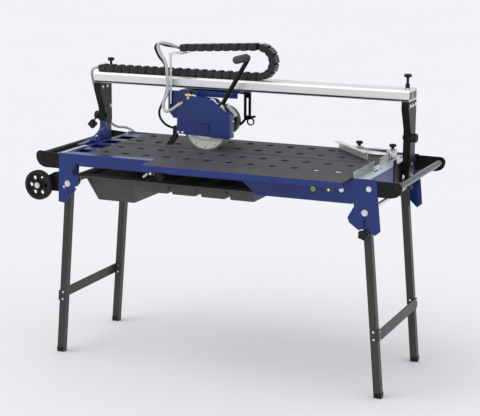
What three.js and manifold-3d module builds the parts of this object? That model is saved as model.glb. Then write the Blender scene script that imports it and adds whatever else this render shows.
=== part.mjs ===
import * as THREE from 'three';
import { mergeVertices } from 'three/addons/utils/BufferGeometryUtils.js';
import Module from 'manifold-3d';

// Bridge tile cutter on folding legs. Millimetres, +Z up, +X along the beam, +Y to the back.
// The blade plane, the feet and the floor are laid out first; the group is centred at the end.

const wasm = await Module();
wasm.setup();

// ---------- driving dimensions ----------
const GAP = 0.5;                 // clearance between neighbours
const SHEET = 3;                 // folded sheet steel
const TABLE_Z = 870;             // top of the table
const SIDE_Y = 303;              // outer face of both side panels
const TABLE = { x0: -560, x1: 594, y0: -256, y1: SIDE_Y - 5, thick: 4, lip: 3.5, skirt: 22 };
const SLOT = 9;                  // blade slot between the two table panels
const BLADE = { x: -152, y: 14.5, z: TABLE_Z + 97, r: 100, thick: 2.4 };
const HOLES = { r: 17, x0: -503, pitch: 92, columns: 12, rows: [-200, -67, 98, 232] };

const FRAME_X0 = -666;           // left end of the frame
const FRAME_X1 = 694;            // right end of the frame
const RAIL_Z = TABLE_Z - 96;              // bottom of the deep part of the side panels
const MOUTH = { x0: -574, x1: 206, z: TABLE_Z - 49 };   // cut-out above the tray in the front panel
const EXT = { x0: -243, x1: 592, y0: -SIDE_Y - 98, lip: 24, thick: 4 };
const SHELF = 8;                 // ledges under the table panels lie this far below the top
const EXT_RODS = { xs: [-200, 540], r: 7, z: TABLE_Z - 27, length: 320 };

const LEG = { tube: 30, wall: 2.5, sole: 20, front: -260, rear: 231 };
const LEG_L = { foot: -707.5, axisX: -650, pivotX: -629, pivotZ: TABLE_Z - 125, top: TABLE_Z - 100 };   // axisX at the pivot's height
const LEG_R = { foot: 707, axisX: 641, pivotX: 651, pivotZ: TABLE_Z - 129, top: TABLE_Z - 104 };
const PIVOT_R = 8;
const LUG_R = 20;                // boss on a leg round its pivot
const BRACE = { z: 250, height: 43, thick: 6 };
const LEG_KNOB = { below: 82, r: 21, bolt: 4 };

const HANDLE = { tubeR: 13, leftX: -757, leftZ: TABLE_Z - 18, rightX: 773, rightZ: TABLE_Z - 26, plate: 4 };
const WHEEL = { x: -761, y: 311, z: TABLE_Z - 140, r: 62, width: 26, hubR: 18, axleR: 6 };

const BEAM = { x0: -700, x1: 702, y0: 60, y1: 168, z0: TABLE_Z + 246, z1: TABLE_Z + 291, wall: 4 };
const ARM = { width: 30, y1: 165, lowY0: 98, lowZ: TABLE_Z + 130, leftZ0: TABLE_Z + 76, rightZ0: TABLE_Z - 30, left: -702, right: 672 };
const TILT = { pinR: 7, earR: 18, earTop: 22 };   // the bridge tilts about the blade's line on the table
const CLAMP = { y: 114, z: TABLE_Z + 97, shaftR: 6, knobR: 17.5, knobLength: 22 };
const BASE = { y1: 163, z0: TABLE_Z - 86, flareY: -100, flareZ: TABLE_Z + 2, topR: 12.5 };

const CHAIN = { y0: 74, width: 46, height: 30, loopX: 57, loopR: 76, rise: 20, x0: -690, endX: -303 };
const POST = { x: -322, y: 44, r: 5 };

const CARRIAGE = { x0: -286, x1: -26, y0: 52, y1: 200, z0: TABLE_Z + 216, z1: TABLE_Z + 240 };
const MOUNT = { x0: -338, x1: -236, y: 42, thick: 5, z0: TABLE_Z + 120, z1: TABLE_Z + 216 };
const RAIL_LIP = { reach: 14, thick: 6, z: TABLE_Z + 260 };
const ROLLER = { r: 14, width: 10, xs: [-240, -70] };
const LINK = { x: -45, y: 200.5, top: TABLE_Z + 214, length: 98, width: 32, thick: 6 };

const HEAD_PIVOT = { x: -297, z: TABLE_Z + 144, r: 7 };
const GUARD = { y0: -10, y1: 38, wall: 3 };
const FLANGE_R = 55;
const FLAP = 7;                  // thickness of the rubber splash flap
const MOTOR = { y0: 50, y1: 206, r: 67, endY: 258, endR: 63 };
const LEVER = { x0: -70, z0: TABLE_Z + 203, x1: 45, z1: TABLE_Z + 397, y: 6, r: 9.5, gripR: 16, gripLength: 108 };

const TRAY = { y: 225, rimZ: TABLE_Z - 92.5, rim: SIDE_Y - 240, wall: 3, x0: -618, x1: 240 };
const SUMP = { x0: -598, x1: -358, z: TABLE_Z - 203, draft: 58 };
const POCKETS = { xs: [-331, -206, -77, 50], width: 118, z: TABLE_Z - 148, draft: 14 };

const FENCE = { x0: 600, x1: 666, y0: 7 - SIDE_Y, y1: 240, thick: 4, height: 22, gapY0: -48, gapY1: 22, rearY: 178 };
const GUIDE = { y: 200, width: 28, x0: 442, z0: TABLE_Z + 6, z1: TABLE_Z + 27 };
const MITER = { x: 456, y: 200, length: 286, height: 32, thick: 4, offset: 26, foot: 22, angle: 133 };
const KNOB = { r: 15, height: 12 };

// ---------- materials ----------
const paint = (color, metalness, roughness) =>
  new THREE.MeshStandardMaterial({ color, metalness, roughness });
const BLUE = () => paint(0x20367f, 0.1, 0.4);
const TABLE_GREY = () => paint(0x4c4c50, 0.1, 0.6);
const BLACK = () => paint(0x161617, 0.1, 0.5);
const LEG_GREY = () => paint(0x42423f, 0.2, 0.5);
const ZINC = () => paint(0xb9c2c4, 0.8, 0.35);
const ALUMINIUM = () => paint(0xd4d6d8, 0.8, 0.35);
const STEEL = () => paint(0xc4c4c4, 0.9, 0.3);
const PLASTIC = () => paint(0x4a4843, 0.0, 0.6);
const RUBBER = () => paint(0x1b1b1c, 0.0, 0.8);
const HOSE_GREY = () => paint(0xa9abac, 0.0, 0.5);

// ---------- solids ----------
const outline = (points) => new THREE.Shape(points.map(([x, y]) => new THREE.Vector2(x, y)));

function extrude(shape, depth, curveSegments = 12) {
  return new THREE.ExtrudeGeometry(shape, { depth, bevelEnabled: false, curveSegments });
}

// outline in X and Z, from y upwards by thick
function plateXZ(shape, y, thick, segments) {
  return extrude(shape, thick, segments).rotateX(Math.PI / 2).translate(0, y + thick, 0);
}

// outline in X and Y, from z upwards by thick
function plateXY(shape, z, thick, segments) {
  return extrude(shape, thick, segments).translate(0, 0, z);
}

// outline in Y and Z, from x upwards by thick
function plateYZ(shape, x, thick, segments) {
  const turn = new THREE.Matrix4().set(0, 0, 1, 0, 1, 0, 0, 0, 0, 1, 0, 0, 0, 0, 0, 1);
  return extrude(shape, thick, segments).applyMatrix4(turn).translate(x, 0, 0);
}

function box(x0, x1, y0, y1, z0, z1) {
  const solid = new THREE.BoxGeometry(x1 - x0, y1 - y0, z1 - z0);
  return solid.translate((x0 + x1) / 2, (y0 + y1) / 2, (z0 + z1) / 2);
}

function rodX(r, x0, x1, y, z, sides = 20) {
  return new THREE.CylinderGeometry(r, r, x1 - x0, sides).rotateZ(Math.PI / 2).translate((x0 + x1) / 2, y, z);
}

function rodY(r, y0, y1, x, z, sides = 20) {
  return new THREE.CylinderGeometry(r, r, y1 - y0, sides).translate(x, (y0 + y1) / 2, z);
}

function rodZ(r, z0, z1, x, y, sides = 20) {
  return new THREE.CylinderGeometry(r, r, z1 - z0, sides).rotateX(Math.PI / 2).translate(x, y, (z0 + z1) / 2);
}

// star knob with its axis along Z, base at the origin
function star(r, height, lobes = 6) {
  const shape = new THREE.Shape();
  const steps = lobes * 6;
  for (let i = 0; i < steps; i++) {
    const a = (i / steps) * 2 * Math.PI;
    const reach = r * (0.9 + 0.1 * Math.cos(lobes * a));
    if (i === 0) shape.moveTo(reach, 0);
    else shape.lineTo(reach * Math.cos(a), reach * Math.sin(a));
  }
  return extrude(shape, height);
}

function hose(points, r, sides, steps) {
  const path = new THREE.CatmullRomCurve3(points.map(([x, y, z]) => new THREE.Vector3(x, y, z)));
  const ring = new THREE.Shape();
  ring.absarc(0, 0, r, 0, 2 * Math.PI);
  return new THREE.ExtrudeGeometry(ring, { steps, curveSegments: sides / 2, extrudePath: path });
}

// eight-cornered solid that narrows towards its floor
function hopper(x0, x1, y, top, floor, draft, slopeLeft = draft) {
  const flat = outline([[x0, top], [x0 + slopeLeft, floor], [x1 - draft / 4, floor], [x1, top]]);
  const body = toManifold(plateXZ(flat, -y, 2 * y));
  const run = draft / 3;
  const side = outline([[-y, top], [-y + run, floor], [y - run, floor], [y, top]]);
  return fromManifold(body.intersect(toManifold(plateYZ(side, x0 - 1, x1 - x0 + 2))));
}

function toManifold(geometry) {
  const bare = geometry.clone();
  bare.deleteAttribute('normal');
  bare.deleteAttribute('uv');
  const merged = mergeVertices(bare, 1e-4);
  return new wasm.Manifold(new wasm.Mesh({
    numProp: 3,
    vertProperties: new Float32Array(merged.attributes.position.array),
    triVerts: new Uint32Array(merged.index.array),
  }));
}

function fromManifold(manifold) {
  const mesh = manifold.getMesh();
  const geometry = new THREE.BufferGeometry();
  geometry.setAttribute('position', new THREE.BufferAttribute(mesh.vertProperties, 3));
  geometry.setIndex(new THREE.BufferAttribute(mesh.triVerts, 1));
  geometry.computeVertexNormals();
  return geometry;
}

const fuse = (first, ...rest) =>
  fromManifold(rest.reduce((sum, next) => sum.add(toManifold(next)), toManifold(first)));

const cut = (first, ...tools) =>
  fromManifold(tools.reduce((sum, next) => sum.subtract(toManifold(next)), toManifold(first)));

const machine = new THREE.Group();
machine.name = 'tile_cutter';

function add(name, geometry, material) {
  const mesh = new THREE.Mesh(geometry, material);
  mesh.name = name;
  machine.add(mesh);
}

// ---------- frame ----------
// Side panel outline: the deep rail, a bracket at each end and the lower edge round the leg pivots.
function sidePanelOutline(mouth) {
  const end = mouth ? FRAME_X1 : FRAME_X1 - 14;
  const drop = mouth ? 0 : 12;
  const points = [
    [FRAME_X0, TABLE_Z], [end, TABLE_Z], [end + 21, TABLE_Z - 196 - drop], [end, TABLE_Z - 213 - drop],
    [LEG_R.pivotX - 7, LEG_R.pivotZ - 63], [LEG_R.pivotX - 23, LEG_R.pivotZ - 69],
    [LEG_R.pivotX - 61, LEG_R.pivotZ - 42], [LEG_R.pivotX - 68, LEG_R.pivotZ - 23],
    [LEG_R.pivotX - 43, LEG_R.pivotZ + 22], [LEG_R.pivotX - 45, RAIL_Z],
  ];
  const leftBracket = [
    [-580, TABLE_Z - 131], [-597, TABLE_Z - 137], [-590, TABLE_Z - 147], [-642, TABLE_Z - 208],
    [FRAME_X0 - 8, TABLE_Z - 204],
  ];
  const middle = mouth
    ? [[MOUTH.x1, RAIL_Z], [MOUTH.x1 - 56, MOUTH.z], [MOUTH.x0, MOUTH.z]]
    : [[MOUTH.x0, RAIL_Z]];
  return outline([...points, ...middle, ...leftBracket]);
}

function sidePanel(front) {
  const y = front ? -SIDE_Y : SIDE_Y - SHEET;
  const sheet = plateXZ(sidePanelOutline(front), y, SHEET);
  const tools = [LEG_L, LEG_R].map((leg) =>
    rodY(PIVOT_R + GAP, y - 1, y + SHEET + 1, leg.pivotX, leg.pivotZ));
  const notchX0 = EXT.x0 - 3;
  const notchX1 = EXT.x1 + 5;
  const top = TABLE_Z - SHELF;
  const ledgeY = SIDE_Y - 22;
  const band = (x0, x1, reachY, z1) => (front
    ? box(x0, x1, y, -reachY, z1 - SHEET, z1)
    : box(x0, x1, reachY, y + SHEET, z1 - SHEET, z1));
  const trayLedge = band(front ? MOUTH.x1 : MOUTH.x0, LEG_R.pivotX - 50, ledgeY, RAIL_Z);
  const trayTab = band(-604, -584, ledgeY, RAIL_Z);
  if (!front) {
    return fuse(cut(sheet, ...tools), band(TABLE.x0, notchX1, SIDE_Y - 34, top), trayLedge, trayTab);
  }
  tools.push(box(notchX0, notchX1, y - 1, y + SHEET + 1, top, TABLE_Z + 1));
  for (const x of EXT_RODS.xs) {
    tools.push(rodY(EXT_RODS.r + GAP, y - 1, y + SHEET + 1, x, EXT_RODS.z));
  }
  const flange = box(FRAME_X0, notchX0, y, TABLE.y0 - 2, TABLE_Z - SHEET, TABLE_Z);
  const lowFlange = box(notchX0 - 1, notchX1, y, TABLE.y0 + 20, top - SHEET, top);
  return fuse(cut(sheet, ...tools), flange, lowFlange, trayLedge, trayTab);
}
add('front_side_panel', sidePanel(true), BLUE());
add('rear_side_panel', sidePanel(false), BLUE());

const INSIDE_Y = SIDE_Y - SHEET - GAP;
const END_Y = INSIDE_Y - HANDLE.plate - GAP;   // the end plates reach to the handle plates
const slotFront = BLADE.y - SLOT / 2;
const slotRear = BLADE.y + SLOT / 2;

// room in a ledge for the skirts beside the blade slot
const skirtRoom = (x0, x1) =>
  box(x0, x1, slotFront - SHEET - GAP, slotRear + SHEET + GAP, TABLE_Z - 60, TABLE_Z - FENCE.thick / 2);

// ear on an end plate that carries one of the bridge's tilt pins
const tiltEar = (x0) =>
  box(x0, x0 + SHEET, BLADE.y - TILT.earR, BLADE.y + TILT.earR, TABLE_Z - 40, TABLE_Z + TILT.earTop);
const tiltBore = (x0) => rodX(TILT.pinR + GAP, x0 - 1, x0 + SHEET + 1, BLADE.y, TABLE_Z);

function leftEndPlate() {
  const top = TABLE_Z - SHEET - GAP;
  const x0 = FRAME_X0 + 4;
  const x1 = TABLE.x0 - 3;
  const plate = box(x0, x1, -END_Y, END_Y, top - SHEET, top);
  const skirt = box(x0, x0 + SHEET, -END_Y, END_Y, TABLE_Z - 70, top);
  const shelf = TABLE_Z - SHELF;
  const windows = [-235, -115, 5, 125].map((y) => box(x0 + 22, x1 - 8, y, y + 78, top - SHEET - 1, top + 1));
  const ledge = fuse(
    box(x1 - SHEET, x1, TABLE.y0, TABLE.y1, shelf - SHEET, top),
    box(x1 - SHEET, x1 + 30, TABLE.y0 + 24, TABLE.y1 - 36, shelf - SHEET, shelf),
  );
  const room = skirtRoom(TABLE.x0 - GAP, TABLE.x0 + 60);
  return cut(fuse(plate, skirt, ledge, tiltEar(x0)), room, tiltBore(x0), ...windows);
}
add('left_end_plate', leftEndPlate(), BLUE());

function rightEndPlate() {
  const top = TABLE_Z - FENCE.thick - GAP;
  const x1 = FENCE.x1 + 2;
  const shelf = TABLE_Z - SHELF;
  return cut(fuse(
    box(FENCE.x0, x1, -END_Y, END_Y, top - SHEET, top),
    box(x1 - SHEET, x1, -END_Y, END_Y, TABLE_Z - 70, top),
    box(FENCE.x0, FENCE.x0 + SHEET, -END_Y, END_Y, shelf - SHEET, top),
    box(TABLE.x1 - 26, FENCE.x0 + SHEET, TABLE.y0 + 24, TABLE.y1 - 36, shelf - SHEET, shelf),
    tiltEar(x1 - SHEET),
  ), skirtRoom(TABLE.x1 - 60, TABLE.x1 + GAP), tiltBore(x1 - SHEET));
}
add('right_end_plate', rightEndPlate(), BLUE());

// Table panel with its rows of holes and a skirt folded down beside the blade slot.
function tablePanel(y0, y1, skirtY0) {
  const shape = outline([[TABLE.x0, y0], [TABLE.x1, y0], [TABLE.x1, y1], [TABLE.x0, y1]]);
  for (const y of HOLES.rows.filter((row) => row > y0 && row < y1)) {
    for (let i = 0; i < HOLES.columns; i++) {
      const hole = new THREE.Path();
      hole.absarc(HOLES.x0 + i * HOLES.pitch, y, HOLES.r, 0, 2 * Math.PI, true);
      shape.holes.push(hole);
    }
  }
  const low = TABLE_Z - TABLE.thick - TABLE.lip;
  const plate = plateXY(shape, low, TABLE_Z - low, 7);
  const underside = box(TABLE.x0 + SHEET, TABLE.x1 - SHEET, y0 + SHEET, y1 - SHEET, low - 1, TABLE_Z - TABLE.thick);
  const skirt = box(TABLE.x0 + 1, TABLE.x1 - 1, skirtY0 + 0.2, skirtY0 + SHEET - 0.2, low - TABLE.skirt, low + 1);
  return fuse(cut(plate, underside), skirt);
}
add('table_panel_front', tablePanel(TABLE.y0, slotFront, slotFront - SHEET), TABLE_GREY());
add('table_panel_rear', tablePanel(slotRear, TABLE.y1, slotRear), TABLE_GREY());

// ---------- side extension ----------
function sideExtension() {
  const z0 = TABLE_Z - EXT.thick;
  const y1 = TABLE.y0 - GAP;
  const plate = box(EXT.x0, EXT.x1, EXT.y0, y1, z0, TABLE_Z);
  const lip = box(EXT.x0, EXT.x1, EXT.y0, EXT.y0 + SHEET, TABLE_Z - EXT.lip, TABLE_Z - 1);
  const ears = EXT_RODS.xs.map((x) =>
    box(x - 16, x + 16, EXT.y0 + 6, EXT.y0 + 12, EXT_RODS.z - 12, TABLE_Z - 1));
  const rods = EXT_RODS.xs.map((x) => rodY(EXT_RODS.r, EXT.y0 + 8, EXT.y0 + EXT_RODS.length, x, EXT_RODS.z));
  return fuse(plate, lip, ...ears, ...rods);
}
add('side_extension', sideExtension(), TABLE_GREY());
const lockX = EXT_RODS.xs[0];
const lockZ = EXT_RODS.z - EXT_RODS.r - 24;
add('extension_knob', fuse(
  star(18, 12).rotateX(Math.PI / 2).translate(lockX, -SIDE_Y - 3, lockZ),
  rodY(4, -SIDE_Y - 5, -SIDE_Y + 30, lockX, lockZ, 12),
), BLACK());

// ---------- fence plate and mitre guide ----------
function fencePlate() {
  const z0 = TABLE_Z - FENCE.thick;
  const top = TABLE_Z + FENCE.height;
  const plate = box(FENCE.x0, FENCE.x1, FENCE.y0, FENCE.y1, z0, TABLE_Z);
  const front = box(FENCE.x0, FENCE.x0 + SHEET, FENCE.y0, FENCE.gapY0, z0, top);
  const rear = box(FENCE.x0, FENCE.x0 + SHEET, FENCE.gapY1, FENCE.rearY, z0, top);
  const slotX = (FENCE.x0 + FENCE.x1) / 2 + 2;
  const slots = [-150, 90].map((y) => box(slotX - 5, slotX + 5, y, y + 46, z0 - 1, TABLE_Z + 1));
  const ear = TILT.earR + 1;
  const earRoom = box(FENCE.x1 - SHEET, FENCE.x1 + 1, BLADE.y - ear, BLADE.y + ear, z0 - 1, TABLE_Z + 1);
  return cut(fuse(plate, front, rear), earRoom, ...slots);
}
add('fence_plate', fencePlate(), ZINC());

// The arm runs over the table; its clamp straddles the rear fence.
function guideArm() {
  const y0 = GUIDE.y - GUIDE.width / 2;
  const y1 = GUIDE.y + GUIDE.width / 2;
  const cheek = FENCE.rearY - 34;
  const left = FENCE.x0 - GAP - 9;
  const right = FENCE.x0 + SHEET + GAP;
  const top = TABLE_Z + FENCE.height + 1;
  const arm = fuse(
    box(GUIDE.x0, right + 10, y0, y1, GUIDE.z0, GUIDE.z1),
    box(left, left + 8, cheek, y1, GUIDE.z0, top + 9),
    box(right + 1, right + 10, cheek, y1, GUIDE.z0, top + 9),
    box(left, right + 10, cheek, y1, top, top + 9),
  );
  return cut(arm, box(FENCE.x0 - GAP, right, y0 - 1, y1 + 1, GUIDE.z0 - 1, top));
}
const pivotBore = rodZ(4.5, GUIDE.z0 - 1, GUIDE.z1 + 1, MITER.x, MITER.y, 16);
add('guide_arm', cut(guideArm(), pivotBore), ALUMINIUM());

const clampX = FENCE.x0 + SHEET / 2;
const clampZ = TABLE_Z + FENCE.height + 10 + GAP;
function guideKnob(x, y, z) {
  return fuse(star(KNOB.r, KNOB.height).translate(x, y, z + 9), rodZ(6, z, z + 10, x, y, 16));
}
add('guide_clamp_knob', guideKnob(clampX, GUIDE.y - 10, clampZ), BLACK());

// Angle section swung about the pin at the end of the arm.
function miterBar() {
  const z0 = TABLE_Z + 1;
  const half = MITER.length / 2;
  const face = MITER.offset;
  const top = z0 + MITER.height;
  const bar = fuse(
    box(-half, half, face, face + MITER.thick, z0, top),
    box(-half, half, face, face + MITER.foot, top - MITER.thick, top),
    box(-16, 16, -14, face + 2, top - MITER.thick, top),
  );
  const turned = bar.rotateZ(THREE.MathUtils.degToRad(MITER.angle)).translate(MITER.x, MITER.y, 0);
  return cut(turned, rodZ(4.5, z0, z0 + 60, MITER.x, MITER.y, 16));
}
add('miter_bar', miterBar(), ALUMINIUM());
const miterTop = TABLE_Z + 1 + MITER.height;
add('miter_knob', fuse(
  guideKnob(MITER.x, MITER.y, miterTop + GAP),
  rodZ(4, GUIDE.z0 + 2, miterTop + 2, MITER.x, MITER.y, 16),
), BLACK());

// ---------- carry handles ----------
// side is -1 on the left and 1 on the right; the plate hugs the inside of a side panel
function handlePlate(side, front) {
  const tubeX = side < 0 ? HANDLE.leftX : HANDLE.rightX;
  const tubeZ = side < 0 ? HANDLE.leftZ : HANDLE.rightZ;
  const root = side < 0 ? FRAME_X0 + 30 : FRAME_X1 - 30;
  const nose = 21;
  const low = TABLE_Z - 66;
  const shape = new THREE.Shape();
  shape.moveTo(root, TABLE_Z - SHEET - 1);
  shape.lineTo(root + side * 32, TABLE_Z - SHEET - 1);
  shape.lineTo(tubeX, tubeZ + nose);
  const turn = side < 0 ? [Math.PI / 2, Math.PI, false] : [Math.PI / 2, 0, true];
  shape.absarc(tubeX, tubeZ, nose, ...turn);
  shape.quadraticCurveTo(tubeX + side * (nose - 3), low, tubeX - side * 32, low);
  shape.lineTo(root, low);
  const y = front ? -INSIDE_Y : INSIDE_Y - HANDLE.plate;
  return cut(plateXZ(shape, y, HANDLE.plate, 8), rodY(4.5, y - 1, y + 6, tubeX, tubeZ, 14));
}
function handleTube(x, z) {
  const end = INSIDE_Y - HANDLE.plate - GAP;
  const ends = INSIDE_Y + 3;
  return fuse(rodY(HANDLE.tubeR, -end, end, x, z), rodY(4, -ends, ends, x, z, 14));
}
add('handle_plate_left_front', handlePlate(-1, true), BLACK());
add('handle_plate_left_rear', handlePlate(-1, false), BLACK());
add('handle_tube_left', handleTube(HANDLE.leftX, HANDLE.leftZ), BLACK());
add('handle_plate_right_front', handlePlate(1, true), BLACK());
add('handle_plate_right_rear', handlePlate(1, false), BLACK());
add('handle_tube_right', handleTube(HANDLE.rightX, HANDLE.rightZ), STEEL());

// ---------- transport wheels ----------
function wheelBracket(sign) {
  const shape = new THREE.Shape();
  shape.moveTo(FRAME_X0 + 20, TABLE_Z - 74);
  shape.lineTo(FRAME_X0 - 30, TABLE_Z - 84);
  shape.lineTo(WHEEL.x + 4, WHEEL.z + 24);
  shape.absarc(WHEEL.x, WHEEL.z, 24, Math.PI * 0.45, Math.PI * 1.55, false);
  shape.lineTo(FRAME_X0 + 4, TABLE_Z - 164);
  shape.lineTo(FRAME_X0 + 20, TABLE_Z - 150);
  const thick = HANDLE.plate;
  const y = WHEEL.y - WHEEL.width / 2 - 6 - thick;
  const plate = plateXZ(shape, sign > 0 ? y : -y - thick, thick, 8);
  const tip = WHEEL.y + WHEEL.width / 2 + thick;
  const axle = rodY(WHEEL.axleR, Math.min(sign * y, sign * tip), Math.max(sign * y, sign * tip),
    WHEEL.x, WHEEL.z, 16);
  return fuse(plate, axle);
}
add('wheel_bracket_front', wheelBracket(-1), BLACK());
add('wheel_bracket_rear', wheelBracket(1), BLACK());

function wheel(sign) {
  const half = WHEEL.width / 2;
  const profile = [
    [WHEEL.axleR + GAP, -half], [WHEEL.hubR, -half], [WHEEL.hubR + 2, -half + 8], [WHEEL.r - 14, -half + 8],
    [WHEEL.r - 11, -half + 2], [WHEEL.r - 3, -half + 2], [WHEEL.r, -half + 6], [WHEEL.r, half - 6],
    [WHEEL.r - 3, half - 2], [WHEEL.r - 11, half - 2], [WHEEL.r - 14, half - 8], [WHEEL.hubR + 2, half - 8],
    [WHEEL.hubR, half], [WHEEL.axleR + GAP, half], [WHEEL.axleR + GAP, -half],
  ];
  const tyre = new THREE.LatheGeometry(profile.map(([r, y]) => new THREE.Vector2(r, y)), 24);
  const holes = [];
  for (let i = 0; i < 8; i++) {
    const a = (i / 8) * 2 * Math.PI;
    holes.push(rodY(6, -WHEEL.width, WHEEL.width, 36 * Math.cos(a), 36 * Math.sin(a), 10));
  }
  return cut(tyre, ...holes).translate(WHEEL.x, sign * WHEEL.y, WHEEL.z);
}
add('wheel_front', wheel(-1), RUBBER());
add('wheel_rear', wheel(1), RUBBER());

// ---------- folding legs ----------
function legTube(leg, y) {
  const lean = (leg.axisX - leg.foot) / leg.pivotZ;
  const half = LEG.tube / 2;
  const at = (z) => leg.foot + lean * z;
  const strip = (z0, z1, reach) => outline([
    [at(z0) - reach, z0], [at(z0) + reach, z0], [at(z1) + reach, z1], [at(z1) - reach, z1],
  ]);
  const bore = rodY(PIVOT_R + GAP, y - 1, y + LEG.tube + 1, leg.pivotX, leg.pivotZ);
  const inside = plateXZ(strip(LEG.sole, leg.top + 1, half - LEG.wall), y + LEG.wall, LEG.tube - 2 * LEG.wall);
  const lug = rodY(LUG_R, y, y + LEG.tube, leg.pivotX, leg.pivotZ);
  return cut(fuse(cut(plateXZ(strip(0, leg.top, half), y, LEG.tube), inside), lug), bore);
}

// flat brace bolted to the outer face of its leg pair
function legBrace(leg, side) {
  const lean = (leg.axisX - leg.foot) / leg.pivotZ;
  const low = BRACE.z - BRACE.height / 2;
  const high = BRACE.z + BRACE.height / 2;
  const edge = (z, reach) => leg.foot + lean * z + side * (LEG.tube / 2 + GAP + reach);
  const shape = outline([
    [edge(low, 0), low], [edge(low, BRACE.thick), low], [edge(high, BRACE.thick), high], [edge(high, 0), high],
  ]);
  return plateXZ(shape, LEG.front, LEG.rear + LEG.tube - LEG.front);
}

// shaft through both side panels and both legs, with a head at each end
function pivotShaft(leg) {
  const head = SIDE_Y + GAP;
  return fuse(
    rodY(PIVOT_R, -head, head, leg.pivotX, leg.pivotZ),
    rodY(PIVOT_R + 5, -head - 6, -head, leg.pivotX, leg.pivotZ),
    rodY(PIVOT_R + 5, head, head + 6, leg.pivotX, leg.pivotZ),
  );
}
for (const [side, leg, sign] of [['left', LEG_L, -1], ['right', LEG_R, 1]]) {
  add(`leg_${side}_front`, legTube(leg, LEG.front), LEG_GREY());
  add(`leg_${side}_rear`, legTube(leg, LEG.rear), LEG_GREY());
  add(`leg_brace_${side}`, legBrace(leg, sign), LEG_GREY());
  add(`pivot_shaft_${side}`, pivotShaft(leg), STEEL());
}
const knobZ = LEG_R.pivotZ - LEG_KNOB.below;
add('leg_knob', fuse(
  star(LEG_KNOB.r, 15).rotateX(Math.PI / 2).translate(LEG_R.pivotX, -SIDE_Y - 5, knobZ),
  rodY(LEG_KNOB.bolt, -SIDE_Y - 7, LEG.front - GAP, LEG_R.pivotX, knobZ, 14),
), BLACK());

// ---------- tilting bridge ----------
function uprightBase(side) {
  const x0 = (side < 0 ? ARM.left : ARM.right) + SHEET + GAP;
  const x1 = x0 + ARM.width - 2 * (SHEET + GAP);
  const frontY = CLAMP.y - BASE.topR;
  const shape = new THREE.Shape();
  if (side < 0) {
    shape.moveTo(BASE.flareY, BASE.z0);
    shape.lineTo(BASE.flareY, BASE.flareZ);
    shape.quadraticCurveTo(frontY - 10, BASE.flareZ + 4, frontY, BASE.flareZ + 50);
  } else {
    shape.moveTo(frontY, BASE.z0);
  }
  shape.lineTo(frontY, CLAMP.z);
  shape.absarc(CLAMP.y, CLAMP.z, BASE.topR, Math.PI, Math.PI / 2, true);
  shape.lineTo(BASE.y1 - 6, CLAMP.z + BASE.topR);
  shape.lineTo(BASE.y1, CLAMP.z - 6);
  shape.lineTo(BASE.y1, BASE.z0);
  const post = cut(plateYZ(shape, x0, x1 - x0, 8), rodX(CLAMP.shaftR + GAP, x0 - 1, x1 + 1, CLAMP.y, CLAMP.z));
  const skirt = side < 0 ? FRAME_X0 + 4 : FENCE.x1 + 2;
  const boss = TILT.earR - 2;
  if (side < 0) {
    return fuse(
      post,
      box(x0, skirt - GAP, BASE.flareY, BASE.y1, BASE.z0, TABLE_Z - 10),
      rodX(boss, x0, skirt - GAP, BLADE.y, TABLE_Z),
      rodX(TILT.pinR, skirt - 1, skirt + SHEET, BLADE.y, TABLE_Z),
    );
  }
  const lugX = ARM.right - GAP;
  return fuse(
    post,
    box(skirt + GAP, x1, frontY, BASE.y1, BASE.z0, ARM.rightZ0 - 26),
    box(skirt + GAP, lugX, BLADE.y - boss, BASE.y1, BASE.z0, TABLE_Z),
    rodX(boss, skirt + GAP, lugX, BLADE.y, TABLE_Z),
    rodX(TILT.pinR, skirt - SHEET, lugX, BLADE.y, TABLE_Z),
  );
}
add('upright_base_left', uprightBase(-1), BLUE());
add('upright_base_right', uprightBase(1), BLACK());

// Channel that is open to the back: a front flange and two webs, closed by a cap under the beam.
function bridgeArm(side) {
  const x0 = side < 0 ? ARM.left : ARM.right;
  const x1 = x0 + ARM.width;
  const low = side < 0 ? ARM.leftZ0 : ARM.rightZ0;
  const top = BEAM.z0 - GAP;
  const web = outline([
    [ARM.lowY0, low], [ARM.y1 - 8, low - 20], [ARM.y1, low], [ARM.y1, top], [BEAM.y0, top],
    [BEAM.y0, top - 30], [ARM.lowY0, ARM.lowZ],
  ]);
  const hollow = outline([
    [ARM.lowY0 + SHEET, low - 30], [ARM.y1 + 1, low - 30], [ARM.y1 + 1, top - SHEET],
    [BEAM.y0 + SHEET, top - SHEET], [BEAM.y0 + SHEET, top - 30], [ARM.lowY0 + SHEET, ARM.lowZ - 2],
  ]);
  const channel = cut(
    plateYZ(web, x0, ARM.width),
    plateYZ(hollow, x0 + SHEET, ARM.width - 2 * SHEET),
    rodX(CLAMP.shaftR + GAP, x0 - 1, x1 + 1, CLAMP.y, CLAMP.z),
  );
  return channel;
}
add('bridge_arm_left', bridgeArm(-1), BLACK());
add('bridge_arm_right', bridgeArm(1), BLACK());

// Two-chamber extrusion, with a lip along the back that carries the rollers.
function beam() {
  const { y0, y1, z0, z1, wall } = BEAM;
  const mid = (y0 + y1) / 2;
  const shape = outline([
    [y0, z0 + 6], [y0 + 5, z0], [y1, z0], [y1, RAIL_LIP.z], [y1 + RAIL_LIP.reach, RAIL_LIP.z],
    [y1 + RAIL_LIP.reach, RAIL_LIP.z + RAIL_LIP.thick], [y1, RAIL_LIP.z + RAIL_LIP.thick], [y1, z1],
    [y0 + 8, z1], [y0, z1 - 8],
  ]);
  const room = (a, b) => box(BEAM.x0 - 1, BEAM.x1 + 1, a, b, z0 + wall + 2, z1 - wall - 4);
  const bar = plateYZ(shape, BEAM.x0, BEAM.x1 - BEAM.x0);
  return cut(bar, room(y0 + wall, mid - wall / 2), room(mid + wall / 2, y1 - wall));
}
add('beam', beam(), ALUMINIUM());

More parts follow.
